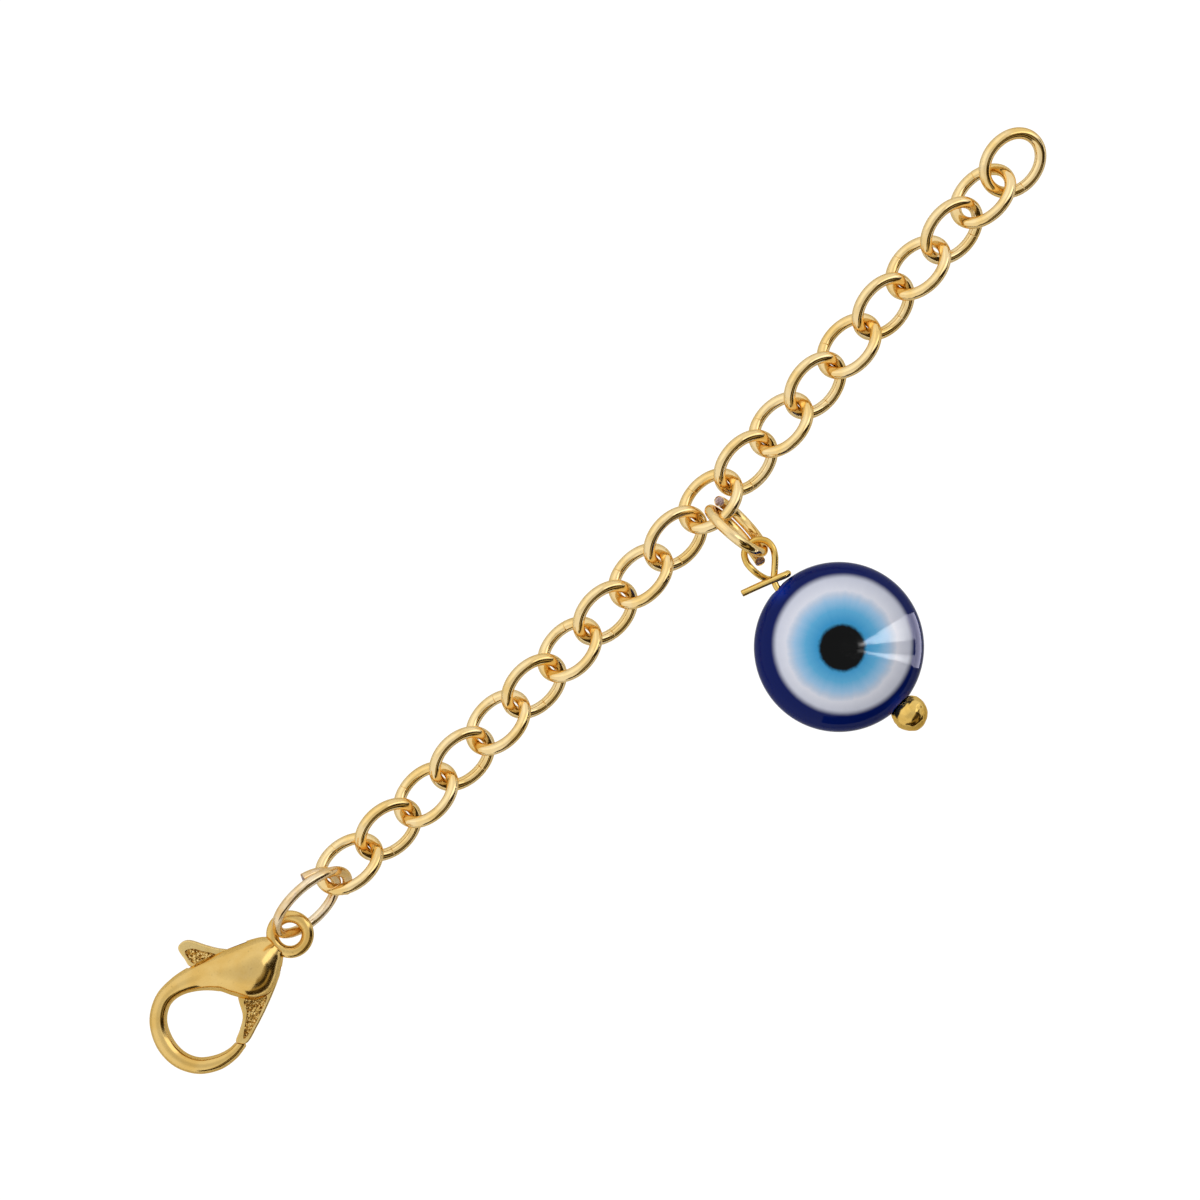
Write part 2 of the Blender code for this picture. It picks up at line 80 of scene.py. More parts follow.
# The outlines below are measured from the middle of the link that the charm hangs on, at floor height.
charm_low, charm_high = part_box("chain_link_10")
ORIGIN = np.array([(charm_low.x + charm_high.x) / 2, (charm_low.y + charm_high.y) / 2, 0.0])
bead_low, bead_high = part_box("bead_body")
BEAD = np.array((bead_low + bead_high) / 2)
BEAD_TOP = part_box("pupil_front")[1].z - BEAD[2]
BEAD_RADIUS = (bead_high.x - bead_low.x) / 2


# ---------------------------------------------------------------- shaders

BLACK_STOP, WHITE_STOP = (0, 0, 0), (1, 1, 1)
# A Mix node's colour sockets share their names with its other sockets, so they go by number.
MIX_FACTOR, MIX_FIRST, MIX_SECOND = 0, 6, 7


class Shader:
    """Builds one material's nodes."""

    def __init__(self, name):
        self.material = bpy.data.materials.new(name)
        self.material.use_nodes = True
        self.tree = self.material.node_tree
        self.bsdf = self.tree.nodes["Principled BSDF"]

    def node(self, kind, **values):
        made = self.tree.nodes.new(kind)
        for key, value in values.items():
            setattr(made, key, value)
        return made

    def link(self, source, target):
        self.tree.links.new(source, target)

    def place(self, offset=(0.0, 0.0, 0.0), scale=(1.0, 1.0, 1.0)):
        """Object coordinates, moved and scaled."""
        coordinates = self.node("ShaderNodeTexCoord")
        mapping = self.node("ShaderNodeMapping")
        mapping.inputs["Location"].default_value = offset
        mapping.inputs["Scale"].default_value = scale
        self.link(coordinates.outputs["Object"], mapping.inputs["Vector"])
        return mapping.outputs["Vector"]

    def noise(self, vector, scale, detail=3.0, rough=0.5, distortion=0.0):
        made = self.node("ShaderNodeTexNoise")
        made.inputs["Scale"].default_value = scale
        made.inputs["Detail"].default_value = detail
        made.inputs["Roughness"].default_value = rough
        made.inputs["Distortion"].default_value = distortion
        self.link(vector, made.inputs["Vector"])
        return made.outputs["Fac"]

    def ramp(self, factor, stops, ease=False):
        made = self.node("ShaderNodeValToRGB")
        if ease:
            made.color_ramp.interpolation = "EASE"
        for k, (where, colour) in enumerate(stops):
            stop = made.color_ramp.elements[k] if k < 2 else made.color_ramp.elements.new(where)
            stop.position = where
            stop.color = colour if len(colour) == 4 else (*colour, 1.0)
        self.link(factor, made.inputs["Fac"])
        return made.outputs["Color"]

    def grey(self, factor, low, high, a=0.3, b=0.7):
        """The factor from a to b, stretched to run from low to high."""
        return self.ramp(factor, [(a, (low,) * 3), (b, (high,) * 3)])

    def math(self, operation, first, second=None, clamp=False):
        made = self.node("ShaderNodeMath", operation=operation, use_clamp=clamp)
        for socket, value in zip(made.inputs, (first, second)):
            if value is None:
                continue
            if isinstance(value, (int, float)):
                socket.default_value = value
            else:
                self.link(value, socket)
        return made.outputs[0]

    def mix(self, factor, first, second, blend="MIX"):
        made = self.node("ShaderNodeMix", data_type="RGBA", blend_type=blend)
        for index, value in ((MIX_FACTOR, factor), (MIX_FIRST, first), (MIX_SECOND, second)):
            if isinstance(value, (int, float)):
                made.inputs[index].default_value = value
            elif isinstance(value, tuple):
                made.inputs[index].default_value = value if len(value) == 4 else (*value, 1.0)
            else:
                self.link(value, made.inputs[index])
        return made.outputs[2]

    def bump(self, height, distance, strength=1.0, after=None):
        made = self.node("ShaderNodeBump")
        made.inputs["Distance"].default_value = distance
        made.inputs["Strength"].default_value = strength
        self.link(height, made.inputs["Height"])
        if after is not None:
            self.link(after, made.inputs["Normal"])
        return made.outputs["Normal"]


GOLD_TINT = (1.0, 0.82, 0.50, 1.0)
FINE_RIPPLE = 3e-6


def plated(name, light, deep, worn, roughness=(0.10, 0.22), wear=0.12, ripple=6e-6, grain=1.2e-6):
    """Gold plating over cast or drawn metal: patches, pits, thin spots and an uneven polish."""
    s = Shader(name)
    here = s.place()
    patches = s.noise(here, 420.0, 4.0, 0.55)
    colour = s.ramp(patches, [(0.32, deep), (0.62, light)], ease=True)
    thin = s.noise(s.place(offset=(0.031, 0.017, 0.009)), 760.0, 5.0, 0.62, 0.6)
    colour = s.mix(s.grey(thin, 0.0, wear, 0.56, 0.70), colour, worn)
    pits = s.noise(here, 5200.0, 2.0, 0.4)
    colour = s.mix(s.grey(pits, 0.35, 0.0, 0.22, 0.34), colour, tuple(0.45 * c for c in deep))
    s.link(colour, s.bsdf.inputs["Base Color"])
    s.bsdf.inputs["Metallic"].default_value = 1.0
    s.bsdf.inputs["Specular Tint"].default_value = GOLD_TINT
    s.link(s.grey(s.noise(here, 1900.0, 4.0, 0.6), *roughness), s.bsdf.inputs["Roughness"])
    waves = s.bump(s.noise(here, 900.0, 2.0, 0.45, 0.3), ripple)
    fine = s.bump(s.noise(here, 9000.0, 3.0, 0.6), grain, after=waves)
    s.link(fine, s.bsdf.inputs["Normal"])
    return s.material


def cut_metal(name):
    """The raw end of a wire nipped with cutters: pinkish silver with drag lines across it."""
    s = Shader(name)
    drag = s.noise(s.place(scale=(1.0, 6.0, 1.0)), 3500.0, 3.0, 0.6)
    colour = s.ramp(drag, [(0.30, (0.10, 0.06, 0.06)), (0.50, (0.36, 0.25, 0.24)),
                           (0.72, (0.66, 0.54, 0.50))])
    s.link(colour, s.bsdf.inputs["Base Color"])
    s.bsdf.inputs["Metallic"].default_value = 1.0
    s.link(s.grey(drag, 0.25, 0.5), s.bsdf.inputs["Roughness"])
    s.link(s.bump(drag, 8e-6), s.bsdf.inputs["Normal"])
    return s.material


def granular_gold(name):
    """Sand-cast floor of the lever's recesses: bright grain tops over brown hollows, a painted highlight on the
    tops and painted shade in the hollows.
    """
    s = Shader(name)
    here = s.place()
    grains = s.noise(here, 6500.0, 2.0, 0.5)
    # Painted highlight on the grain tops and painted shade in the brown hollows, from the same noise as the
    # bump.
    colour = s.ramp(grains, [(0.32, (0.18, 0.08, 0.015)), (0.50, (0.64, 0.40, 0.10)),
                             (0.66, (0.93, 0.70, 0.30))])
    s.link(colour, s.bsdf.inputs["Base Color"])
    s.bsdf.inputs["Metallic"].default_value = 1.0
    s.link(s.grey(grains, 0.42, 0.18), s.bsdf.inputs["Roughness"])
    s.link(s.bump(grains, 3.5e-5), s.bsdf.inputs["Normal"])
    return s.material


def drawn_steel(name):
    """Bare steel with fine drawing lines."""
    s = Shader(name)
    lines = s.noise(s.place(scale=(1.0, 1.0, 7.0)), 2500.0, 4.0, 0.6)
    colour = s.ramp(lines, [(0.3, (0.40, 0.40, 0.39)), (0.7, (0.66, 0.66, 0.64))])
    s.link(colour, s.bsdf.inputs["Base Color"])
    s.bsdf.inputs["Metallic"].default_value = 1.0
    s.link(s.grey(lines, 0.22, 0.42), s.bsdf.inputs["Roughness"])
    s.link(s.bump(lines, 2e-6), s.bsdf.inputs["Normal"])
    return s.material


NAVY = (0.0014, 0.0085, 0.105)
# Painted glow: a lighter navy for the resin beside the drilled hole.
NAVY_PAINTED_GLOW = (0.002, 0.030, 0.36)
WHITE = (0.80, 0.825, 0.93)
# Painted shade: a darker white for the white ring's outer part.
WHITE_PAINTED_SHADE = (0.63, 0.66, 0.78)
HALO = (0.58, 0.69, 0.86)
SKY_PALE = (0.38, 0.62, 0.88)
SKY = (0.13, 0.475, 0.79)
SKY_DEEP = (0.052, 0.355, 0.69)
BLACK = (0.0030, 0.0034, 0.0036)
RESIN_IOR = 1.20

# Where each ring's middle lies from the bead's. Ring sizes below are shares of the bead's radius.
PUPIL_SHIFT = (0.03 * MM, -0.08 * MM)
IRIS_SHIFT = (0.11 * MM, 0.02 * MM)
WHITE_SHIFT = (0.27 * MM, 0.0)
# The last stop paints shade on the white ring, darker towards its outer edge.
RING_STOPS = [(0.0, SKY_DEEP), (0.29, SKY_DEEP), (0.42, SKY), (0.54, SKY_PALE), (0.60, HALO), (0.65, WHITE),
              (0.80, WHITE_PAINTED_SHADE)]
WHITE_EDGE = (0.766, 0.846)
PUPIL_EDGE = (0.245, 0.30)
RING_WANDER = 0.012
RAY_WANDER = 0.055
PUPIL_FRAY = 0.035

# The drilled hole lets light into the navy resin beside it; that glow is painted into the colour as a lighter
# navy beside the hole, near the rim.
HOLE_GLOW = 1.9 * MM
HOLE_GLOW_EDGE = (0.84, 0.97)


def eye_resin(name, back=False):
    """Poured rings of resin, running softly into one another; colours follow the distance from the middle."""
    s = Shader(name)
    flip = -1.0 if back else 1.0
    centre = (-float(BEAD[0]), -float(BEAD[1]), 0.0)
    here = s.place(offset=centre)
    blur = s.noise(here, 700.0, 3.0, 0.55)
    fray = s.noise(here, 2600.0, 3.0, 0.6)

    def distance(shift):
        split = s.node("ShaderNodeSeparateXYZ")
        s.link(here, split.inputs[0])
        x = s.math("SUBTRACT", split.outputs[0], shift[0])
        y = s.math("SUBTRACT", split.outputs[1], shift[1] * flip)
        across = s.math("SQRT", s.math("ADD", s.math("MULTIPLY", x, x), s.math("MULTIPLY", y, y)))
        return s.math("DIVIDE", across, BEAD_RADIUS), split

    def soft_edge(factor, edge):
        return s.ramp(factor, [(edge[0], BLACK_STOP), (edge[1], WHITE_STOP)], ease=True)

    def unsteady(texture, amount):
        return s.math("MULTIPLY", s.math("SUBTRACT", texture, 0.5), amount)

    wander = unsteady(blur, RING_WANDER)
    ring, split = distance(IRIS_SHIFT)
    ring = s.math("ADD", ring, wander)
    outer_ring = s.math("ADD", distance(WHITE_SHIFT)[0], wander)
    streak = s.node("ShaderNodeMath", operation="ARCTAN2")
    s.link(split.outputs[1], streak.inputs[0])
    s.link(split.outputs[0], streak.inputs[1])
    turn = s.node("ShaderNodeCombineXYZ")
    s.link(streak.outputs[0], turn.inputs[0])
    s.link(s.math("MULTIPLY", ring, 0.35), turn.inputs[1])
    rays = s.noise(turn.outputs[0], 7.0, 3.0, 0.6)
    iris_ring = s.math("ADD", ring, unsteady(rays, RAY_WANDER))
    colour = s.ramp(iris_ring, RING_STOPS)
    colour = s.mix(soft_edge(outer_ring, WHITE_EDGE), colour, NAVY)
    pupil, _ = distance(PUPIL_SHIFT)
    pupil = s.math("ADD", pupil, unsteady(fray, PUPIL_FRAY))
    colour = s.mix(soft_edge(pupil, PUPIL_EDGE), BLACK, colour)
    # Painted glow: the navy turns lighter along the hole's line, near the rim.
    aside = s.math("ABSOLUTE", split.outputs[0])
    near_hole = s.math("SUBTRACT", 1.0, s.math("DIVIDE", aside, HOLE_GLOW), clamp=True)
    along = s.math("DIVIDE", s.math("ABSOLUTE", split.outputs[1]), BEAD_RADIUS)
    outward = s.grey(along, 0.0, 1.0, *HOLE_GLOW_EDGE)
    lit = s.math("MULTIPLY", s.math("MULTIPLY", near_hole, near_hole), outward)
    colour = s.mix(lit, colour, NAVY_PAINTED_GLOW)
    s.link(colour, s.bsdf.inputs["Base Color"])
    s.bsdf.inputs["IOR"].default_value = RESIN_IOR
    s.link(s.grey(blur, 0.03, 0.06), s.bsdf.inputs["Roughness"])
    s.link(s.bump(s.noise(here, 260.0, 2.0, 0.4), 3e-6), s.bsdf.inputs["Normal"])
    return s.material


# ---------------------------------------------------------------- meshes

def put(name, mesh, body, slot, replaces, *materials):
    """Makes the mesh a piece: its body, the nodes it stands for and its materials; the slot is not used."""
    piece = bpy.data.objects.new(name, mesh)
    SCENE.collection.objects.link(piece)
    for material in materials:
        mesh.materials.append(material)
    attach(piece, body)
    if replaces:
        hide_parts(*replaces)
    return piece


def mesh_of(name, shape, sharp=35.0):
    """Turns the bmesh into a smooth-shaded mesh; edges over that many degrees stay sharp."""
    mesh = bpy.data.meshes.new(name)
    bmesh.ops.recalc_face_normals(shape, faces=shape.faces)
    shape.to_mesh(mesh)
    shape.free()
    mesh.shade_smooth()
    mesh.set_sharp_from_angle(angle=math.radians(sharp))
    return mesh


def smooth_route(points, steps):
    """A Catmull-Rom line through the points."""
    points = np.array(points, float)
    ends = np.vstack([2 * points[0] - points[1], points, 2 * points[-1] - points[-2]])
    return np.vstack([*catmull(ends, steps), ends[-2:-1]])


def smooth_loop(points, steps):
    """The same through a closed ring of points."""
    points = np.array(points, float)
    return np.vstack(catmull(np.vstack([points[-1:], points, points[:2]]), steps))


def catmull(ends, steps):
    """Rows of points on the curve, leaving out its first and last control points."""
    out = []
    for i in range(1, len(ends) - 2):
        a, b, c, d = ends[i - 1 : i + 3]
        for k in range(steps):
            t = k / steps
            out.append(0.5 * (2 * b + (c - a) * t + (2 * a - 5 * b + 4 * c - d) * t * t
                              + (3 * b - a - 3 * c + d) * t ** 3))
    return [np.array([row]) for row in out]


def carried_frames(path, closed):
    """Tangent, side and upright vectors along a path, without twist."""
    if closed:
        tangents = np.roll(path, -1, 0) - np.roll(path, 1, 0)
    else:
        tangents = np.gradient(path, axis=0)
    tangents /= np.linalg.norm(tangents, axis=1)[:, None]
    side = np.cross(tangents[0], (0.31, 0.17, 0.93))
    side /= np.linalg.norm(side)
    sides = [side]
    for t in tangents[1:]:
        side = sides[-1] - t * (sides[-1] @ t)
        sides.append(side / np.linalg.norm(side))
    sides = np.array(sides)
    if closed:
        last = sides[-1] - tangents[0] * (sides[-1] @ tangents[0])
        last /= np.linalg.norm(last)
        slip = math.atan2(np.cross(last, sides[0]) @ tangents[0], last @ sides[0])
        turns = slip * np.arange(len(path)) / len(path)
        ups = np.cross(tangents, sides)
        sides = sides * np.cos(turns)[:, None] + ups * np.sin(turns)[:, None]
    return tangents, sides, np.cross(tangents, sides)


def sweep(shape, path, radii, sides=28, closed=False, nip=0.0):
    """A round wire along a path. Open ends are nipped to a low ridge and take the piece's second material."""
    path = np.array(path, float)
    radii = np.broadcast_to(np.array(radii, float), (len(path),)).copy()
    tangents, aside, upright = carried_frames(path, closed)
    rings = []
    turn = 2 * math.pi * np.arange(sides) / sides
    cosine, sine = np.cos(turn)[:, None], np.sin(turn)[:, None]
    for k in range(len(path)):
        ring = path[k] + radii[k] * (cosine * aside[k] + sine * upright[k])
        if not closed and nip and k in (0, len(path) - 1):
            inward = 1 if k == 0 else -1
            ring = ring + inward * tangents[k] * nip * np.abs(cosine)
        rings.append([shape.verts.new(p) for p in ring])
    pairs = list(zip(rings, rings[1:])) + ([(rings[-1], rings[0])] if closed else [])
    for first, second in pairs:
        for s in range(sides):
            t = (s + 1) % sides
            shape.faces.new((first[s], first[t], second[t], second[s]))
    if not closed:
        half = sides // 2
        for ring in (rings[0], rings[-1]):
            for s in range(1, half):
                corners = [ring[s], ring[s + 1], ring[sides - s - 1], ring[sides - s]]
                if s == half - 1:
                    del corners[2]
                shape.faces.new(corners).material_index = 1
            shape.faces.new((ring[0], ring[1], ring[sides - 1])).material_index = 1
    return shape


END_SHRINK = 0.86


def wire_ends(path, radius, chamfer):
    """The path with a short chamfer added at each end, and the radii to go with it."""
    path = np.array(path, float)
    first = path[1] - path[0]
    last = path[-2] - path[-1]
    step_a = path[0] + first / np.linalg.norm(first) * chamfer
    step_b = path[-1] + last / np.linalg.norm(last) * chamfer
    made = np.vstack([path[:1], step_a[None], path[1:-1], step_b[None], path[-1:]])
    radii = np.full(len(made), radius)
    radii[0] = radii[-1] = radius * END_SHRINK
    return made, radii


# ---------------------------------------------------------------- chain

def link_frame(node):
    """A link's middle, its long, wide and upright directions, and its outer length and width."""
    points = np.array([v.co for v in NODES[node].data.vertices], float)
    middle = points.mean(0)
    _, _, axes = np.linalg.svd(points - middle, full_matrices=False)
    along = axes[0] * (1 if axes[0][0] > 0 else -1)
    aside = axes[1] * (1 if axes[1][1] > 0 else -1)
    upright = np.cross(along, aside)
    spans = []
    for axis in (along, aside, upright):
        reach = (points - middle) @ axis
        middle = middle + axis * (reach.max() + reach.min()) / 2
        spans.append(reach.max() - reach.min())
    return middle, along, aside, upright, spans


LINKS = 20
LINK_SEED = 11
LINK_STEPS = 120
LINK_BULGE = 0.003
WIRE_SHARE = 0.975
SEAM_DEPTH = 0.07
SEAM_WIDTH = 0.008
SEAM_STEP = 0.010
SEAM_NUDGE = 0.0007


def build_links(material):
    """Slightly uneven ovals of round wire, each with a pressed seam on one of its long sides."""
    rng = np.random.default_rng(LINK_SEED)
    for number in range(1, LINKS + 1):
        node = f"chain_link_{number:02d}"
        middle, along, aside, upright, spans = link_frame(node)
        wire = spans[2]
        half_long, half_wide = (spans[0] - wire) / 2, (spans[1] - wire) / 2
        seam = (rng.uniform(0.35, 0.65) + (1.0 if number % 2 else 0.0)) * math.pi
        turns = np.sort(np.concatenate([2 * math.pi * np.arange(LINK_STEPS) / LINK_STEPS,
                                        seam + np.arange(-2, 3) * SEAM_STEP + SEAM_NUDGE]))
        bulge = rng.uniform(-LINK_BULGE, LINK_BULGE, 3)
        wave = (1.0 + bulge[0] * np.cos(2 * turns) + bulge[1] * np.sin(3 * turns)
                + bulge[2] * np.cos(4 * turns))
        path = (middle + (half_long * np.cos(turns) * wave)[:, None] * along
                + (half_wide * np.sin(turns) * wave)[:, None] * aside)
        gap = np.abs(turns - seam - SEAM_NUDGE)
        radii = WIRE_SHARE * wire / 2 * (1.0 - SEAM_DEPTH * np.exp(-(gap / SEAM_WIDTH) ** 2))
        name = f"oval_link_{number:02d}"
        mesh = mesh_of(name, sweep(bmesh.new(), path, radii, closed=True), 60.0)
        put(name, mesh, f"link_{number:02d}", "gold", [node], material)


# ---------------------------------------------------------------- rings

RING_STEPS = 190
RING_CHAMFER = 0.05 * MM
RING_NIP = 0.11 * MM
CLASP_RING_START = 70.6
CLASP_RING_TURNS = (8, 481)
CLASP_RING_WIRE = 0.72 * MM
CLASP_RING_RADIUS = 2.71 * MM
CLASP_RING_GROWTH = 0.64 * MM
CLASP_RING_LEAN = 1.25 * MM
CLASP_RING_PITCH = 0.54 * MM
CLASP_RING_PLACE = (-40.00 * MM, 1.60 * MM, 2.80 * MM)
CHARM_RING_START = -12.0
CHARM_RING_TURNS = (0, 508)
CHARM_RING_WIRE = 0.77 * MM
CHARM_RING_RADIUS = 2.33 * MM
CHARM_RING_LEAN = 0.50 * MM
CHARM_RING_PITCH = 0.84 * MM
CHARM_RING_PLACE = (0.29 * MM, -2.72 * MM, 2.76 * MM)
CHARM_RING_OPENING = 0.62 * MM
OPENING_TURN = 75.0


def ring_path(start, first, last, steps, placer):
    """A wound ring's middle line, from first to last degrees of winding."""
    turns = [first + (last - first) * k / steps for k in range(steps + 1)]
    return np.array([placer(turn, math.radians(start - turn)) for turn in turns])


def clasp_ring_place(swept, angle):
    """The clasp ring leans, and widens a little as it winds."""
    radius = CLASP_RING_RADIUS + CLASP_RING_GROWTH * (swept / 360 - 0.45)
    height = math.sqrt(radius ** 2 - CLASP_RING_LEAN ** 2)
    x, y, z = CLASP_RING_PLACE
    return (ORIGIN[0] + x + radius * math.cos(angle),
            ORIGIN[1] + y - CLASP_RING_PITCH * swept / 360 + CLASP_RING_LEAN * math.sin(angle),
            z + height * math.sin(angle))


def charm_ring_place(swept, angle):
    """The charm ring's last part springs open."""
    opened = max(0.0, swept - CHARM_RING_TURNS[1] + OPENING_TURN) / OPENING_TURN
    radius = CHARM_RING_RADIUS + CHARM_RING_OPENING * opened ** 2
    x, y, z = CHARM_RING_PLACE
    return (ORIGIN[0] + x - CHARM_RING_PITCH * swept / 360 - CHARM_RING_LEAN * math.sin(angle),
            ORIGIN[1] + y + radius * math.cos(angle), z + radius * math.sin(angle))


def wound_ring(name, wire, path):
    """An open jump ring of round wire along the path."""
    path, radii = wire_ends(path, wire / 2, RING_CHAMFER)
    return mesh_of(name, sweep(bmesh.new(), path, radii, nip=RING_NIP), 40.0)


def build_rings(pale, gold, cut):
    path = ring_path(CLASP_RING_START, *CLASP_RING_TURNS, RING_STEPS, clasp_ring_place)
    mesh = wound_ring("clasp_jump_ring", CLASP_RING_WIRE, path)
    put("clasp_jump_ring", mesh, "swivel_ring", "pale_gold", ["clasp_ring"], pale, cut)
    path = ring_path(CHARM_RING_START, *CHARM_RING_TURNS, RING_STEPS, charm_ring_place)
    mesh = wound_ring("charm_jump_ring", CHARM_RING_WIRE, path)
    put("charm_jump_ring", mesh, "hanging_ring", "gold", ["charm_ring"], gold, cut)


# ---------------------------------------------------------------- head pin

PIN_ROUTE = ((-1.30, -7.9, 0.0), (-1.22, -7.45, 0.0), (-0.95, -7.0, 0.0), (-0.42, -6.55, 0.02),
             (0.20, -6.0, 0.05), (0.58, -5.4, 0.05), (0.61, -4.75, 0.0), (0.18, -4.2, 0.0),
             (-0.45, -4.05, 0.0), (-1.05, -4.22, 0.0), (-1.42, -4.75, 0.0), (-1.52, -5.4, -0.05),
             (-1.46, -6.1, -0.30), (-1.24, -6.75, -0.56), (-0.75, -7.15, -0.58), (-0.25, -7.4, -0.42),
             (-0.02, -7.45, 0.0), (-0.20, -7.38, 0.42), (-0.70, -7.15, 0.58), (-1.35, -6.85, 0.58),
             (-2.30, -6.45, 0.50), (-3.30, -6.05, 0.42))
PIN_WIRE = 0.48 * MM
PIN_CHAMFER = 0.04 * MM
PIN_NIP = 0.05 * MM
BALL_RADIUS = 1.26 * MM
BALL_Y = -20.46 * MM
BALL_WAVE = 0.006
BALL_LUMPS = 0.07 * MM
BALL_CLEARANCE = 0.07 * MM


def build_pin(material, cut):
    """One wire from the ball up through the bead, round its loop and neck to the tail."""
    bend = [ORIGIN + np.array((x * MM, y * MM, BEAD[2] + z * MM)) for x, y, z in PIN_ROUTE]
    path = smooth_route(bend, 9)
    ball = np.array((bend[0][0], ORIGIN[1] + BALL_Y, BEAD[2]))
    shaft = [ball + (path[0] - ball) * t for t in np.linspace(0.0, 1.0, 24)[:-1]]
    path, radii = wire_ends(np.vstack([shaft, path]), PIN_WIRE / 2, PIN_CHAMFER)
    shape = sweep(bmesh.new(), path, radii, sides=24, nip=PIN_NIP)
    wire = mesh_of("pin_wire", shape, 40.0)
    profile = []
    for k in range(49):
        angle = math.pi * k / 48
        wobble = 1.0 + BALL_WAVE * math.sin(5 * angle)
        profile.append((BALL_RADIUS * wobble * math.sin(angle), -BALL_RADIUS * math.cos(angle)))
    shape = bmesh.new()
    turn_profile(shape, profile, 64, Matrix.Translation(ball) @ Matrix.Rotation(math.pi / 2, 4, "X"))
    for v in shape.verts:
        out = (v.co - Vector(ball)).normalized()
        lumps = noise.noise(out * 1.7 + Vector((3.1, 0.4, 1.2))) + 0.45 * noise.noise(out * 4.2)
        v.co += out * lumps * BALL_LUMPS
    shape.from_mesh(wire)
    bpy.data.meshes.remove(wire)
    put("ball_pin", mesh_of("ball_pin", shape, 40.0), "pin", "gold", ["head_pin"], material, cut)


def turn_profile(shape, profile, sides, matrix=Matrix()):
    """Turns a profile of (radius, height) round Z; a radius of 0 is one point."""
    rows = []
    for radius, height in profile:
        if radius < 1e-7:
            rows.append([shape.verts.new(matrix @ Vector((0, 0, height)))])
        else:
            turns = [2 * math.pi * s / sides for s in range(sides)]
            points = [Vector((radius * math.cos(turn), radius * math.sin(turn), height)) for turn in turns]
            rows.append([shape.verts.new(matrix @ point) for point in points])
    for first, second in zip(rows, rows[1:]):
        for s in range(sides):
            t = (s + 1) % sides
            corners = list(dict.fromkeys((first[s % len(first)], first[t % len(first)],
                                          second[t % len(second)], second[s % len(second)])))
            if len(corners) > 2:
                shape.faces.new(corners)
    return rows


# ---------------------------------------------------------------- bead

WHITE_RADIUS = 5.0 * MM
IRIS_RADIUS = 3.42 * MM
PUPIL_RADIUS = 1.65 * MM
LAYER_FLOOR = 1.2 * MM
LAND = 0.5 * MM
FULLNESS = 2.4
SUMMIT_X = 0.41 * MM
SUMMIT_Y = -0.44 * MM
RIM_STEPS = 28
HOLE = 0.33 * MM
HOLE_SIDES = 40
BEAD_SIDES = 144


def dome(x, y):
    """Height of the domed face; its summit lies off the middle, and its contours close on the rim."""
    a = BEAD_RADIUS ** 2 - SUMMIT_X ** 2 - SUMMIT_Y ** 2
    b = (x - SUMMIT_X) * SUMMIT_X + (y - SUMMIT_Y) * SUMMIT_Y
    c = (x - SUMMIT_X) ** 2 + (y - SUMMIT_Y) ** 2
    ring = BEAD_RADIUS * (b + math.sqrt(b * b + a * c)) / a
    reach = min(1.0, max(0.0, (ring - LAND) / (BEAD_RADIUS - LAND)))
    return BEAD_TOP * math.sqrt(max(0.0, 1 - reach ** FULLNESS))


def turned_layer(points):
    """A turned piece whose points marked as lying on the dome follow it all the way round."""
    shape = bmesh.new()
    rows = turn_profile(shape, [(r, 0.0 if z is None else z) for r, z in points], BEAD_SIDES)
    for row, (r, z) in zip(rows, points):
        for v in row:
            if z is None:
                v.co.z = dome(v.co.x, v.co.y)
    return shape


def hole_cutter():
    """The drilled hole, flared at the neck's end and opening into a round seat for the ball at the other."""
    ball_reach = BEAD[1] - ORIGIN[1] - BALL_Y
    seat = BALL_RADIUS + BALL_CLEARANCE
    mouth = math.acos(HOLE / seat)
    profile = [(0.0, -1.2 * BEAD_RADIUS), (2.2 * HOLE, -1.2 * BEAD_RADIUS), (2.2 * HOLE, -BEAD_RADIUS),
               (1.25 * HOLE, -0.985 * BEAD_RADIUS), (HOLE, -0.955 * BEAD_RADIUS)]
    for k in range(25):
        angle = -mouth + (mouth + math.pi / 2) * k / 24
        profile.append((seat * max(0.0, math.cos(angle)), ball_reach + seat * math.sin(angle)))
    shape = bmesh.new()
    turn_profile(shape, profile, HOLE_SIDES, Matrix.Translation(BEAD) @ Matrix.Rotation(math.pi / 2, 4, "X"))
    return mesh_of("hole", shape)


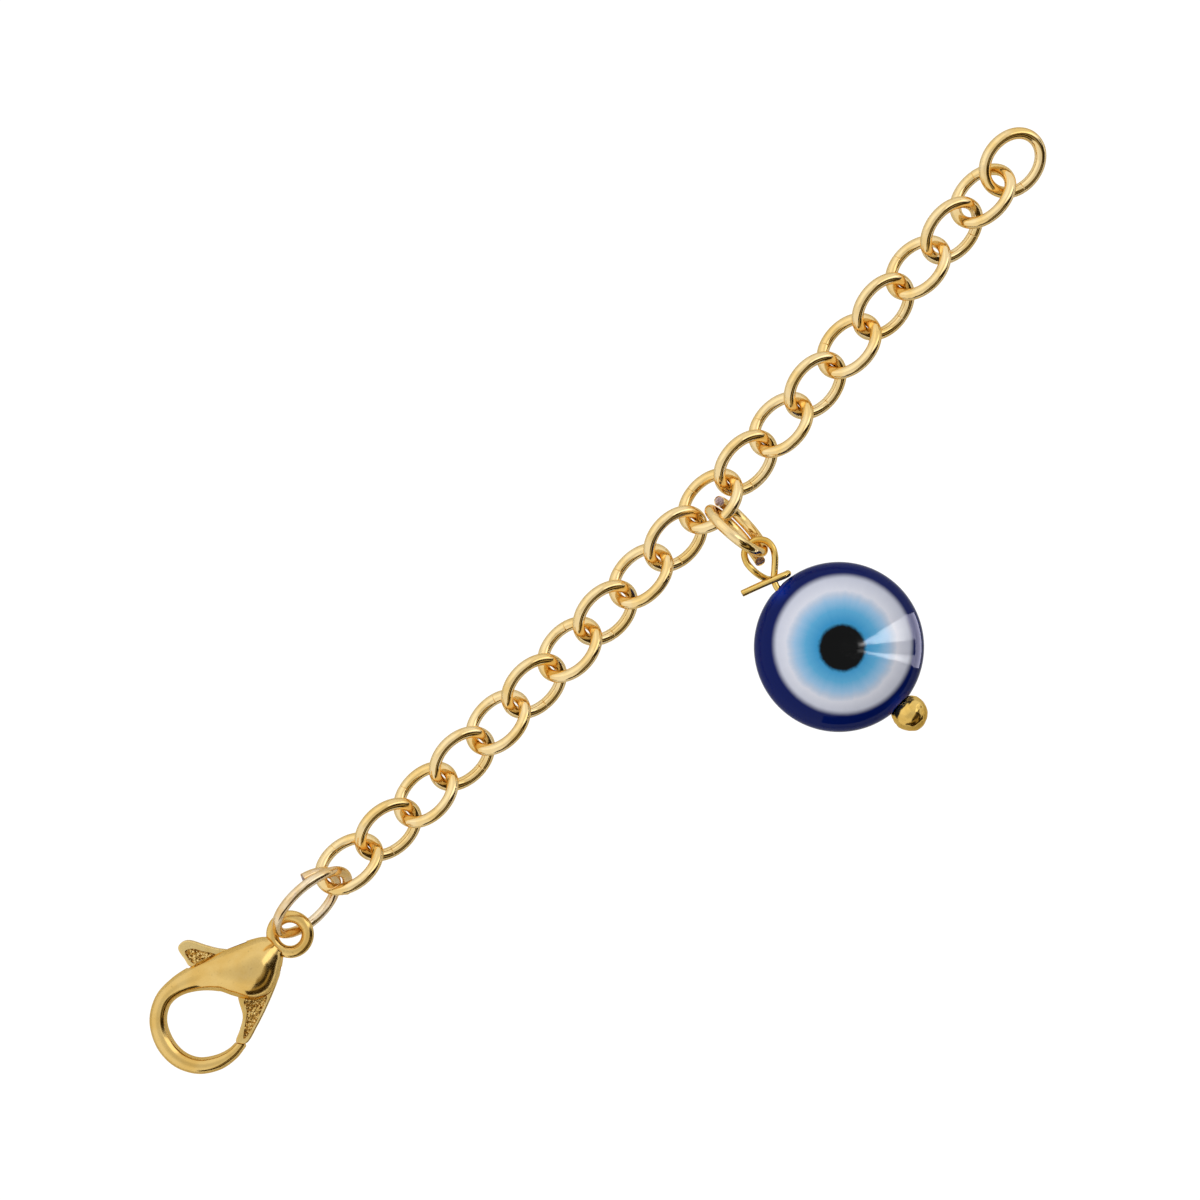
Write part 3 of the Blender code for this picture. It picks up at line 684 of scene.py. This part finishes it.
def build_bead(front, back):
    """The navy body and its three inlaid layers on each face; the back is the front turned over."""
    rim = [WHITE_RADIUS + (BEAD_RADIUS - WHITE_RADIUS) * math.sin(math.pi / 2 * k / RIM_STEPS)
           for k in range(RIM_STEPS + 1)]
    halves = bmesh.new()
    for turn in (0.0, math.pi):
        half = turned_layer([(0.0, LAYER_FLOOR), (WHITE_RADIUS, LAYER_FLOOR), *[(r, None) for r in rim]])
        half.transform(Matrix.Translation(BEAD) @ Matrix.Rotation(turn, 4, "X"))
        mesh = mesh_of("half", half)
        halves.from_mesh(mesh)
        bpy.data.meshes.remove(mesh)
    bmesh.ops.remove_doubles(halves, verts=halves.verts, dist=1e-7)
    piece = put("eye_bead_body", mesh_of("eye_bead_body", halves), "bead", "navy_resin", ["bead_body"], front)
    cut_from(piece, [hole_cutter()], "DIFFERENCE")
    pieces = [piece]
    layers = (("white", IRIS_RADIUS, WHITE_RADIUS, "white_resin"),
              ("iris", PUPIL_RADIUS, IRIS_RADIUS, "sky_resin"),
              ("pupil", 0.0, PUPIL_RADIUS, "black_resin"))
    for side, turn, material in (("front", 0.0, front), ("back", math.pi, back)):
        for layer, inner, outer, slot in layers:
            run = [inner + (outer - inner) * k / 16 for k in range(17)]
            points = [*[(r, None) for r in run], (outer, LAYER_FLOOR), (inner, LAYER_FLOOR)]
            if inner > 0:
                points.append((inner, None))
            shape = turned_layer(points)
            shape.transform(Matrix.Translation(BEAD) @ Matrix.Rotation(turn, 4, "X"))
            bmesh.ops.remove_doubles(shape, verts=shape.verts, dist=1e-8)
            name = f"{layer}_layer_{side}"
            mesh = mesh_of(name, shape, 30.0)
            pieces.append(put(name, mesh, "bead", slot, [f"{layer}_{side}"], material))
    return pieces


CUT_SHARP = 32
ORDER_Y = 0.7351
ORDER_Z = 0.3127


def cut_from(piece, meshes, operation):
    """Boolean with each mesh in turn, applied to the piece's own mesh, which is left in a steady order."""
    for mesh in meshes:
        tool = bpy.data.objects.new("tool", mesh)
        SCENE.collection.objects.link(tool)
        step = piece.modifiers.new("cut", "BOOLEAN")
        step.operation = operation
        step.object = tool
        bpy.context.view_layer.update()
        evaluated = piece.evaluated_get(bpy.context.evaluated_depsgraph_get())
        made = bpy.data.meshes.new_from_object(evaluated)
        piece.modifiers.clear()
        old = piece.data
        name = old.name
        piece.data = made
        bpy.data.meshes.remove(old)
        made.name = name
        bpy.data.objects.remove(tool, do_unlink=True)
        bpy.data.meshes.remove(mesh)
    shape = bmesh.new()
    shape.from_mesh(piece.data)
    shape.verts.sort(key=lambda vert: order_of(vert.co))
    shape.faces.sort(key=lambda face: order_of(face.calc_center_median()))
    shape.to_mesh(piece.data)
    shape.free()
    piece.data.shade_smooth()
    piece.data.set_sharp_from_angle(angle=math.radians(CUT_SHARP))


def order_of(point):
    """A number that ranks points the same way however the Boolean left them."""
    return point.x + ORDER_Y * point.y + ORDER_Z * point.z


# ---------------------------------------------------------------- clasp

CLASP_Z = 1.65 * MM
EYE_CENTRE = (-42.65 * MM, 0.68 * MM)
EYE_RADIUS = 1.25 * MM
EYE_WIRE = 0.88 * MM
EYE_FLATNESS = 0.84
PIVOT = (-46.1 * MM, 1.10 * MM)
SLOT_HALF = 0.45 * MM
LEVER_HALF = 0.41 * MM
RIVET_RADIUS = 0.35 * MM
RIVET_PLAY = 0.03 * MM
RIVET_HOLE = (-0.2 * MM, 2.65 * MM)
LEVER_BEVEL = 0.10 * MM
GATE_REACH = 5.56 * MM
GATE_BAND = 1.2 * MM
RIM_DEPTH = 0.17 * MM
GRAIN_HEIGHT = 0.10 * MM
GRAIN_STEP = 0.045 * MM
OVAL_POWER = 0.94

# How the body closes at its eye and at the hook's tip: reach, then each ring's share of it and its size.
EYE_CAP = (0.05 * MM, ((0.5, 0.985), (0.9, 0.955), (1.0, 0.90)))
TIP_CAP = (0.16 * MM, ((0.45, 0.93), (0.80, 0.74), (0.97, 0.42)))

# Outlines in mm from ORIGIN. A section is its outer edge, its inner edge and its half thickness.
CLASP_SECTIONS = ((-43.95, 1.80, -43.97, 0.06, 0.72), (-44.30, 2.12, -44.45, -0.30, 1.02),
                  (-45.00, 2.55, -45.45, -0.92, 1.41), (-45.90, 3.00, -46.60, -1.20, 1.60),
                  (-46.70, 3.38, -47.75, -0.72, 1.60), (-47.45, 3.70, -48.50, 0.48, 1.46),
                  (-48.20, 4.00, -48.98, 1.50, 1.26), (-48.95, 4.25, -49.85, 2.51, 1.02),
                  (-50.64, 4.65, -50.96, 3.25, 0.84), (-52.36, 4.60, -52.04, 3.40, 0.76),
                  (-53.95, 3.69, -53.05, 2.81, 0.74), (-54.93, 2.05, -53.67, 1.65, 0.74),
                  (-55.05, 0.25, -53.79, 0.45, 0.73), (-54.32, -1.32, -53.38, -0.58, 0.72),
                  (-53.01, -2.29, -52.49, -1.31, 0.68), (-51.67, -2.59, -51.53, -1.69, 0.60),
                  (-50.59, -2.50, -50.61, -1.74, 0.50))
LEVER_OUTLINE = ((-45.35, 1.85), (-46.0, 2.6), (-46.8, 3.61), (-47.3, 4.5), (-47.75, 5.45), (-48.15, 5.82),
                 (-48.6, 5.85), (-48.85, 5.6), (-49.0, 4.9), (-49.08, 4.2), (-48.2, 3.2), (-47.25, 1.9),
                 (-47.6, 1.1), (-48.42, 0.25), (-49.1, -0.83), (-49.95, -1.35), (-50.76, -1.75),
                 (-50.30, -2.36), (-49.1, -2.12), (-47.6, -1.68), (-45.9, -1.05), (-44.95, -0.5),
                 (-44.9, 0.5))
SLOT_OUTLINE = ((-44.75, 1.0), (-45.1, 2.0), (-45.2, 7.0), (-49.9, 7.0), (-49.35, 4.15), (-47.8, 2.1),
                (-48.9, 1.65), (-49.7, 1.0), (-49.6, -1.4), (-48.0, -4.0), (-44.6, -4.0))
TAB_PANEL = ((-48.62, 5.22), (-48.08, 5.02), (-47.73, 4.41), (-47.20, 3.45), (-47.88, 3.72), (-48.78, 4.19))
GATE_PANEL = ((-48.30, -0.20), (-47.60, -0.30), (-46.9, -1.1), (-47.93, -1.56), (-49.04, -1.88),
              (-50.07, -2.05), (-50.14, -1.88), (-49.36, -1.33), (-48.67, -0.83))


def placed(outline):
    """The outline in metres, in the shared frame."""
    return [(ORIGIN[0] + x * MM, ORIGIN[1] + y * MM) for x, y in outline]


def prism(outline, low, high, bevel=0.0, name="prism"):
    """A flat outline made into a plate from low to high, its long edges rounded by the bevel."""
    shape = bmesh.new()
    face = shape.faces.new([shape.verts.new((x, y, low)) for x, y in outline])
    raised = bmesh.ops.extrude_face_region(shape, geom=[face])
    top = [v for v in raised["geom"] if isinstance(v, bmesh.types.BMVert)]
    bmesh.ops.translate(shape, verts=top, vec=(0, 0, high - low))
    bmesh.ops.recalc_face_normals(shape, faces=shape.faces)
    if bevel:
        flat = [e for e in shape.edges if abs(e.verts[0].co.z - e.verts[1].co.z) < 1e-9]
        bmesh.ops.bevel(shape, geom=flat, offset=bevel, segments=4, profile=0.5, affect="EDGES",
                        clamp_overlap=True)
    return mesh_of(name, shape)


def loft(sections, sides):
    """A tube through the oval sections, closed at both ends."""
    shape = bmesh.new()
    rings = []
    for outer_x, outer_y, inner_x, inner_y, half_thick in sections:
        middle = Vector((outer_x + inner_x, outer_y + inner_y, 2 * CLASP_Z)) / 2
        inward = Vector((inner_x - outer_x, inner_y - outer_y, 0)) / 2
        ring = []
        for s in range(sides):
            angle = 2 * math.pi * s / sides
            across = math.copysign(abs(math.cos(angle)) ** OVAL_POWER, math.cos(angle))
            lift = Vector((0, 0, half_thick * math.sin(angle)))
            ring.append(shape.verts.new(middle + inward * across + lift))
        rings.append(ring)
    for k, inner, (reach, steps) in ((0, 1, EYE_CAP), (-1, -2, TIP_CAP)):
        middle = sum((v.co for v in rings[k]), Vector()) / sides
        out = (middle - sum((v.co for v in rings[inner]), Vector()) / sides).normalized() * reach
        cap = [[shape.verts.new(middle + out * share + (v.co - middle) * shrink) for v in rings[k]]
               for share, shrink in steps]
        rings = [*reversed(cap), *rings] if k == 0 else [*rings, *cap]
    for first, second in zip(rings, rings[1:]):
        for s in range(sides):
            t = (s + 1) % sides
            shape.faces.new((first[s], first[t], second[t], second[s]))
    shape.faces.new(rings[0])
    shape.faces.new(rings[-1])
    return mesh_of("loft", shape)


def eye_ring(steps=96):
    """The clasp's eye: a ring a little flatter than round."""
    x, y, z = ORIGIN[0] + EYE_CENTRE[0], ORIGIN[1] + EYE_CENTRE[1], CLASP_Z
    turns = 2 * math.pi * np.arange(steps) / steps
    path = np.array([(x + EYE_RADIUS * math.cos(a), y + EYE_RADIUS * math.sin(a), z) for a in turns])
    shape = sweep(bmesh.new(), path, EYE_WIRE / 2, sides=32, closed=True)
    for v in shape.verts:
        v.co.z = z + (v.co.z - z) * EYE_FLATNESS
    return mesh_of("eye", shape)


def gate_band():
    """The outline that the lever's tip sweeps, where it meets the hook."""
    pivot = ORIGIN[:2] + np.array(PIVOT)
    arc = [math.radians(a) for a in range(198, 231, 3)]
    points = [pivot + GATE_REACH * np.array((math.cos(a), math.sin(a))) for a in arc]
    inner = GATE_REACH - GATE_BAND
    points += [pivot + inner * np.array((math.cos(a), math.sin(a))) for a in reversed(arc)]
    return points


def rivet_hole(low, high, sides=48):
    """The cutter for the hole that the rivet goes through."""
    radius = RIVET_RADIUS + RIVET_PLAY
    profile = [(0.0, low), (radius, low), (radius, high), (0.0, high)]
    shape = bmesh.new()
    middle = (ORIGIN[0] + PIVOT[0], ORIGIN[1] + PIVOT[1], 0.0)
    turn_profile(shape, profile, sides, Matrix.Translation(middle))
    return mesh_of("upright", shape)


def grain_cutter(outline, face_z, out):
    """A block whose inner face is a bed of coarse grains, cut to the panel's outline."""
    points = smooth_loop(placed(outline), 6)
    low, high = points.min(0) - 0.05 * MM, points.max(0) + 0.05 * MM
    counts = [int(n) for n in np.ceil((high - low) / GRAIN_STEP)]
    shape = bmesh.new()
    grid = []
    for i in range(counts[0] + 1):
        row = []
        for j in range(counts[1] + 1):
            x, y = low[0] + i * GRAIN_STEP, low[1] + j * GRAIN_STEP
            coarse = noise.noise(Vector((x, y, 0.0)) * 6000.0)
            coarse += 0.6 * noise.noise(Vector((x, y, 0.01)) * 12500.0)
            row.append(shape.verts.new((x, y, face_z - out * (RIM_DEPTH + GRAIN_HEIGHT * coarse))))
        grid.append(row)
    bed = [shape.faces.new((grid[i][j], grid[i + 1][j], grid[i + 1][j + 1], grid[i][j + 1]))
           for i in range(counts[0]) for j in range(counts[1])]
    raised = bmesh.ops.extrude_face_region(shape, geom=bed)
    for v in (g for g in raised["geom"] if isinstance(g, bmesh.types.BMVert)):
        v.co.z = face_z + out * 0.3 * MM
    block = bpy.data.objects.new("block", mesh_of("block", shape))
    SCENE.collection.objects.link(block)
    ends = sorted((face_z - out * 0.5 * MM, face_z + out * 0.2 * MM))
    cut_from(block, [prism(points, *ends)], "INTERSECT")
    mesh = block.data
    for face in mesh.polygons:
        face.material_index = 1
    bpy.data.objects.remove(block, do_unlink=True)
    return mesh


def build_clasp(gold, lever_gold, grains):
    """The body with its eye, slot and rivet hole, and the lever with granular recesses in both its faces."""
    sections = smooth_route([[v * MM for v in row] for row in CLASP_SECTIONS], 8)
    sections[:, :4] += np.tile(ORIGIN[:2], 2)
    body = put("clasp_shell", loft(sections, 56), "clasp", "deep_gold", ["clasp_body"], gold)
    cut_from(body, [eye_ring()], "UNION")
    slot = prism(placed(SLOT_OUTLINE), CLASP_Z - SLOT_HALF, CLASP_Z + SLOT_HALF)
    band = prism(gate_band(), CLASP_Z - 2 * SLOT_HALF, CLASP_Z + 2 * SLOT_HALF)
    cut_from(body, [slot, band, rivet_hole(*RIVET_HOLE)], "DIFFERENCE")

    outline = smooth_loop(placed(LEVER_OUTLINE), 6)
    lever_mesh = prism(outline, CLASP_Z - LEVER_HALF, CLASP_Z + LEVER_HALF, LEVER_BEVEL, "lever_plate")
    lever = put("lever_plate", lever_mesh, "lever", "deep_gold", ["clasp_lever"], lever_gold, grains)
    cutters = [rivet_hole(0.5 * MM, 3.0 * MM)]
    for panel in (TAB_PANEL, GATE_PANEL):
        cutters.append(grain_cutter(panel, CLASP_Z + LEVER_HALF, 1.0))
        cutters.append(grain_cutter(panel, CLASP_Z - LEVER_HALF, -1.0))
    cut_from(lever, cutters, "DIFFERENCE")


def build_rivet(steel):
    """A rivet with a staked head at its lower end and a rounded one at its upper end."""
    low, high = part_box("lever_rivet")
    middle = ((low.x + high.x) / 2, (low.y + high.y) / 2, 0.0)
    r = RIVET_RADIUS
    profile = [(0.0, low.z + 0.05 * MM), (0.10 * MM, low.z + 0.045 * MM), (0.16 * MM, low.z),
               (r - 0.06 * MM, low.z), (r - 0.015 * MM, low.z + 0.02 * MM), (r, low.z + 0.06 * MM),
               (r, high.z - 0.04 * MM), (r - 0.04 * MM, high.z), (0.0, high.z)]
    shape = bmesh.new()
    turn_profile(shape, profile, 48, Matrix.Translation(middle))
    put("staked_rivet", mesh_of("staked_rivet", shape, 40.0), "clasp", "steel", ["lever_rivet"], steel)


# ---------------------------------------------------------------- stage

VIEW_ROLL = math.atan2(0.7284, 0.6852)
CENTRE = (CAD_LOW + CAD_HIGH) / 2
FIELD = 84.69 * MM
LENS = 120.0
SENSOR = 36.0
AIM_X = -0.255 * MM
AIM_Y = 8.844 * MM
AIM_Z = 2.0 * MM
FLOOR_DROP = 0.12
FLOOR_SIZE = 2.5
FLOOR_TONE = (0.85, 0.85, 0.85, 1.0)
FLOOR_GLOW = 1.10
FLOOR_GLOW_SHARE = 0.93
WORLD_TONE = (0.97, 0.97, 0.98, 1.0)


def direction(image_degrees, elevation):
    """A direction from the ornament: degrees round from the view's right, and height above the floor."""
    a = math.radians(image_degrees) - VIEW_ROLL
    e = math.radians(elevation)
    return Vector((math.cos(a) * math.cos(e), math.sin(a) * math.cos(e), math.sin(e)))


def build_camera():
    """Straight down from above, rolled so that the chain rises from lower left to upper right."""
    data = bpy.data.cameras.new("camera")
    data.lens = LENS
    data.sensor_width = SENSOR
    camera = bpy.data.objects.new("camera", data)
    SCENE.collection.objects.link(camera)
    place = Vector((CENTRE.x + AIM_X, CENTRE.y + AIM_Y, AIM_Z + FIELD * LENS / SENSOR))
    camera.matrix_world = Matrix.Translation(place) @ Matrix.Rotation(-VIEW_ROLL, 4, "Z")
    data.clip_start = 0.01
    data.clip_end = 20.0
    SCENE.camera = camera


def emitter(name, rows, strength, colour, radius, only, foot):
    """A curved light panel or dark flag on a sphere round the ornament; rows are height, first and last turn.

    With a foot, its strength runs from foot at its lower edge to strength at its upper edge.
    """
    heights, firsts, lasts = zip(*rows)
    shape = bmesh.new()
    grid = []
    for j in range(33):
        height = heights[0] + (heights[-1] - heights[0]) * j / 32
        first, last = (float(np.interp(height, heights, turns)) for turns in (firsts, lasts))
        grid.append([shape.verts.new(CENTRE + radius * direction(first + (last - first) * i / 24, height))
                     for i in range(25)])
    for j in range(32):
        for i in range(24):
            shape.faces.new((grid[j][i], grid[j][i + 1], grid[j + 1][i + 1], grid[j + 1][i]))
    light_up(bpy.data.objects.new(name, mesh_of(name, shape)), strength, colour, only, foot)


def floor_glow(name, near, far, turns, strength, colour, only):
    """A lit patch beside the bead, level with its underside, which only its rim mirrors."""
    middle = Vector((BEAD[0], BEAD[1], CAD_LOW.z + 0.05 * MM))
    shape = bmesh.new()
    rows = [[shape.verts.new(middle + radius * direction(turns[0] + (turns[1] - turns[0]) * i / 16, 0.0))
             for i in range(17)] for radius in (near, far)]
    for i in range(16):
        shape.faces.new((rows[0][i], rows[0][i + 1], rows[1][i + 1], rows[1][i]))
    light_up(bpy.data.objects.new(name, mesh_of(name, shape)), strength, colour, only)


def light_up(panel, strength, colour, only, foot=None):
    """Makes a panel glow; one meant for some pieces only lets the light behind it through to all others."""
    SCENE.collection.objects.link(panel)
    s = Shader(panel.name)
    s.tree.nodes.remove(s.bsdf)
    glow = s.node("ShaderNodeEmission")
    glow.inputs["Color"].default_value = (*colour, 1.0)
    glow.inputs["Strength"].default_value = strength
    if foot is not None:
        heights = [v.co.z for v in panel.data.vertices]
        split = s.node("ShaderNodeSeparateXYZ")
        s.link(s.place(), split.inputs[0])
        rise = s.node("ShaderNodeMapRange")
        for socket, value in (("From Min", min(heights)), ("From Max", max(heights)), ("To Min", foot),
                              ("To Max", strength)):
            rise.inputs[socket].default_value = value
        s.link(split.outputs[2], rise.inputs["Value"])
        s.link(rise.outputs[0], glow.inputs["Strength"])
    surface = glow.outputs[0]
    if only:
        both = s.node("ShaderNodeAddShader")
        s.link(surface, both.inputs[0])
        s.link(s.node("ShaderNodeBsdfTransparent").outputs[0], both.inputs[1])
        surface = both.outputs[0]
    s.link(surface, s.tree.nodes["Material Output"].inputs["Surface"])
    panel.data.materials.append(s.material)
    panel.visible_camera = False
    panel.visible_shadow = False
    if only:
        panel.light_linking.receiver_collection = bpy.data.collections.new(panel.name + "_receivers")
        for piece in only:
            panel.light_linking.receiver_collection.objects.link(piece)
        panel.visible_diffuse = False


def build_floor():
    """A pale sweep well below the ornament, as under a glass shelf: no contact shadow, and room to swing."""
    shape = bmesh.new()
    bmesh.ops.create_grid(shape, x_segments=2, y_segments=2, size=FLOOR_SIZE)
    floor = bpy.data.objects.new("floor", mesh_of("floor", shape))
    SCENE.collection.objects.link(floor)
    floor.location = (CENTRE.x, CENTRE.y, CAD_LOW.z - FLOOR_DROP)
    s = Shader("floor")
    s.bsdf.inputs["Base Color"].default_value = FLOOR_TONE
    s.bsdf.inputs["Roughness"].default_value = 0.9
    glow = s.node("ShaderNodeEmission")
    glow.inputs["Strength"].default_value = FLOOR_GLOW
    rays = s.node("ShaderNodeLightPath")
    blend = s.node("ShaderNodeMixShader")
    s.link(s.math("MULTIPLY", rays.outputs["Is Camera Ray"], FLOOR_GLOW_SHARE), blend.inputs[0])
    s.link(s.bsdf.outputs[0], blend.inputs[1])
    s.link(glow.outputs[0], blend.inputs[2])
    s.link(blend.outputs[0], s.tree.nodes["Material Output"].inputs["Surface"])
    floor.data.materials.append(s.material)


def build_world():
    world = bpy.data.worlds.new("studio")
    world.use_nodes = True
    SCENE.world = world
    world.node_tree.nodes["Background"].inputs["Color"].default_value = WORLD_TONE


WHITE_LIGHT = (1.0, 1.0, 1.0)
LAVENDER = (0.80, 0.78, 1.0)
DARK_BROWN = (0.030, 0.020, 0.008)
WINDOW = 38.0
WINDOW_FOOT = 9.0
SILL_LIGHT = 17.0

# Name, rows, strength, colour, radius and foot. The window and its sill light only the bead.
BEAD_LIGHTS = (
    ("window_upper_pane", ((17, 5.3, 25.2), (58, 5.0, 22.0), (75, 3.9, 15.0), (80, 2.4, 9.5), (84.4, -2, -2)),
     WINDOW, WHITE_LIGHT, 0.45, WINDOW_FOOT),
    ("window_lower_pane", ((13, -13.3, -6.2), (66, -13.4, -8.0), (78, -12.4, -9.3), (84.2, -7.2, -7.0)),
     WINDOW, WHITE_LIGHT, 0.45, WINDOW_FOOT),
    ("window_upper_foot", ((3.5, 5.3, 24.0), (17, 5.3, 25.2)), SILL_LIGHT, LAVENDER, 0.45, None),
    ("window_lower_foot", ((3.5, -14.0, -6.0), (13, -13.3, -6.2)), SILL_LIGHT, LAVENDER, 0.45, None),
    ("window_ledge", ((0, -15.0, 23.0), (3.5, -14.0, 24.0)), SILL_LIGHT, LAVENDER, 0.45, None),
)
WIRE_LIGHTS = (
    ("key_panel", ((24, 95, 175), (60, 85, 185), (78, 60, 210)), 0.22, WHITE_LIGHT, 0.50, None),
    ("side_panel", ((18, 8, 42), (62, 8, 42)), 0.7, WHITE_LIGHT, 0.50, None),
)
CLASP_LIGHTS = (
    ("clasp_panel", ((10, 12, 50), (66, 12, 44)), 0.6, WHITE_LIGHT, 0.50, None),
)
# The flags are dark or dim shapes that give the bright metal its brown streaks.
SHARED_LIGHTS = (
    ("low_flag", ((0, -100, 4), (25, -100, 4)), 1.0, (0.040, 0.025, 0.008), 0.60, None),
    ("high_flag", ((25, -90, 4), (35, -84, 4)), 1.0, (0.38, 0.30, 0.14), 0.60, None),
    ("streak_flag", ((35, -84, 4), (50, -74, 5)), 1.0, DARK_BROWN, 0.60, None),
    ("dark_bar", ((6, -14, 24), (56, -14, 16)), 1.0, DARK_BROWN, 0.58, None),
    ("upper_flag", ((50, -74, 5), (62, -60, 6)), 1.0, (0.30, 0.24, 0.12), 0.60, None),
    ("ceiling", ((50, 0, 360), (89.9, 0, 360)), 0.72, WHITE_LIGHT, 0.64, 0.97),
)
SILL_NEAR = BEAD_RADIUS + 5.2 * MM
SILL_FAR = 0.44
SILL_TURNS = (-15.0, 24.0)
SILL_STRENGTH = 12.0
WIRE_PIECES = ("oval_link", "clasp_jump", "charm_jump", "ball")
CLASP_PIECES = ("clasp_shell", "lever_plate", "staked_rivet")


def hang_lights(table, only=None):
    """Makes the table's panels and flags, for some pieces only or for all."""
    for name, rows, strength, colour, radius, foot in table:
        emitter(name, rows, strength, colour, radius, only, foot)


def main():
    """Materials, stage and pieces, with each group of lights after the pieces that it lights."""
    SCENE.view_settings.view_transform = "Standard"
    light_gold = plated("light_gold_plating", (0.90, 0.69, 0.36), (0.84, 0.58, 0.21), (0.88, 0.76, 0.60),
                        roughness=(0.06, 0.15), ripple=4.5e-6)
    pale_gold = plated("pale_gold_plating", (0.88, 0.72, 0.49), (0.80, 0.54, 0.23), (0.82, 0.68, 0.60),
                       wear=0.55)
    deep_gold = plated("deep_gold_plating", (0.80, 0.55, 0.19), (0.74, 0.47, 0.13), (0.82, 0.62, 0.36),
                       ripple=FINE_RIPPLE)
    tab_gold = plated("lever_gold_plating", (0.82, 0.60, 0.24), (0.70, 0.45, 0.12), (0.86, 0.68, 0.42),
                      roughness=(0.12, 0.26), ripple=FINE_RIPPLE)
    pin_gold = plated("pin_gold_plating", (0.80, 0.56, 0.17), (0.68, 0.42, 0.09), (0.84, 0.66, 0.36),
                      ripple=FINE_RIPPLE)
    cut = cut_metal("nipped_wire_end")
    steel = drawn_steel("spring_steel")
    build_camera()
    build_world()
    build_floor()
    build_links(light_gold)
    build_rings(pale_gold, light_gold, cut)
    build_pin(pin_gold, cut)
    bead = build_bead(eye_resin("eye_resin_front"), eye_resin("eye_resin_back", back=True))
    hang_lights(BEAD_LIGHTS, bead)
    floor_glow("window_sill", SILL_NEAR, SILL_FAR, SILL_TURNS, SILL_STRENGTH, LAVENDER, bead)
    build_clasp(deep_gold, tab_gold, granular_gold("granular_gold"))
    build_rivet(steel)
    hang_lights(WIRE_LIGHTS, [piece for piece in SCENE.objects if piece.name.startswith(WIRE_PIECES)])
    hang_lights(CLASP_LIGHTS, [SCENE.objects[name] for name in CLASP_PIECES])
    hang_lights(SHARED_LIGHTS)
    spring = NODES["lever_spring"]
    spring.data.materials.clear()
    spring.data.materials.append(steel)


main()
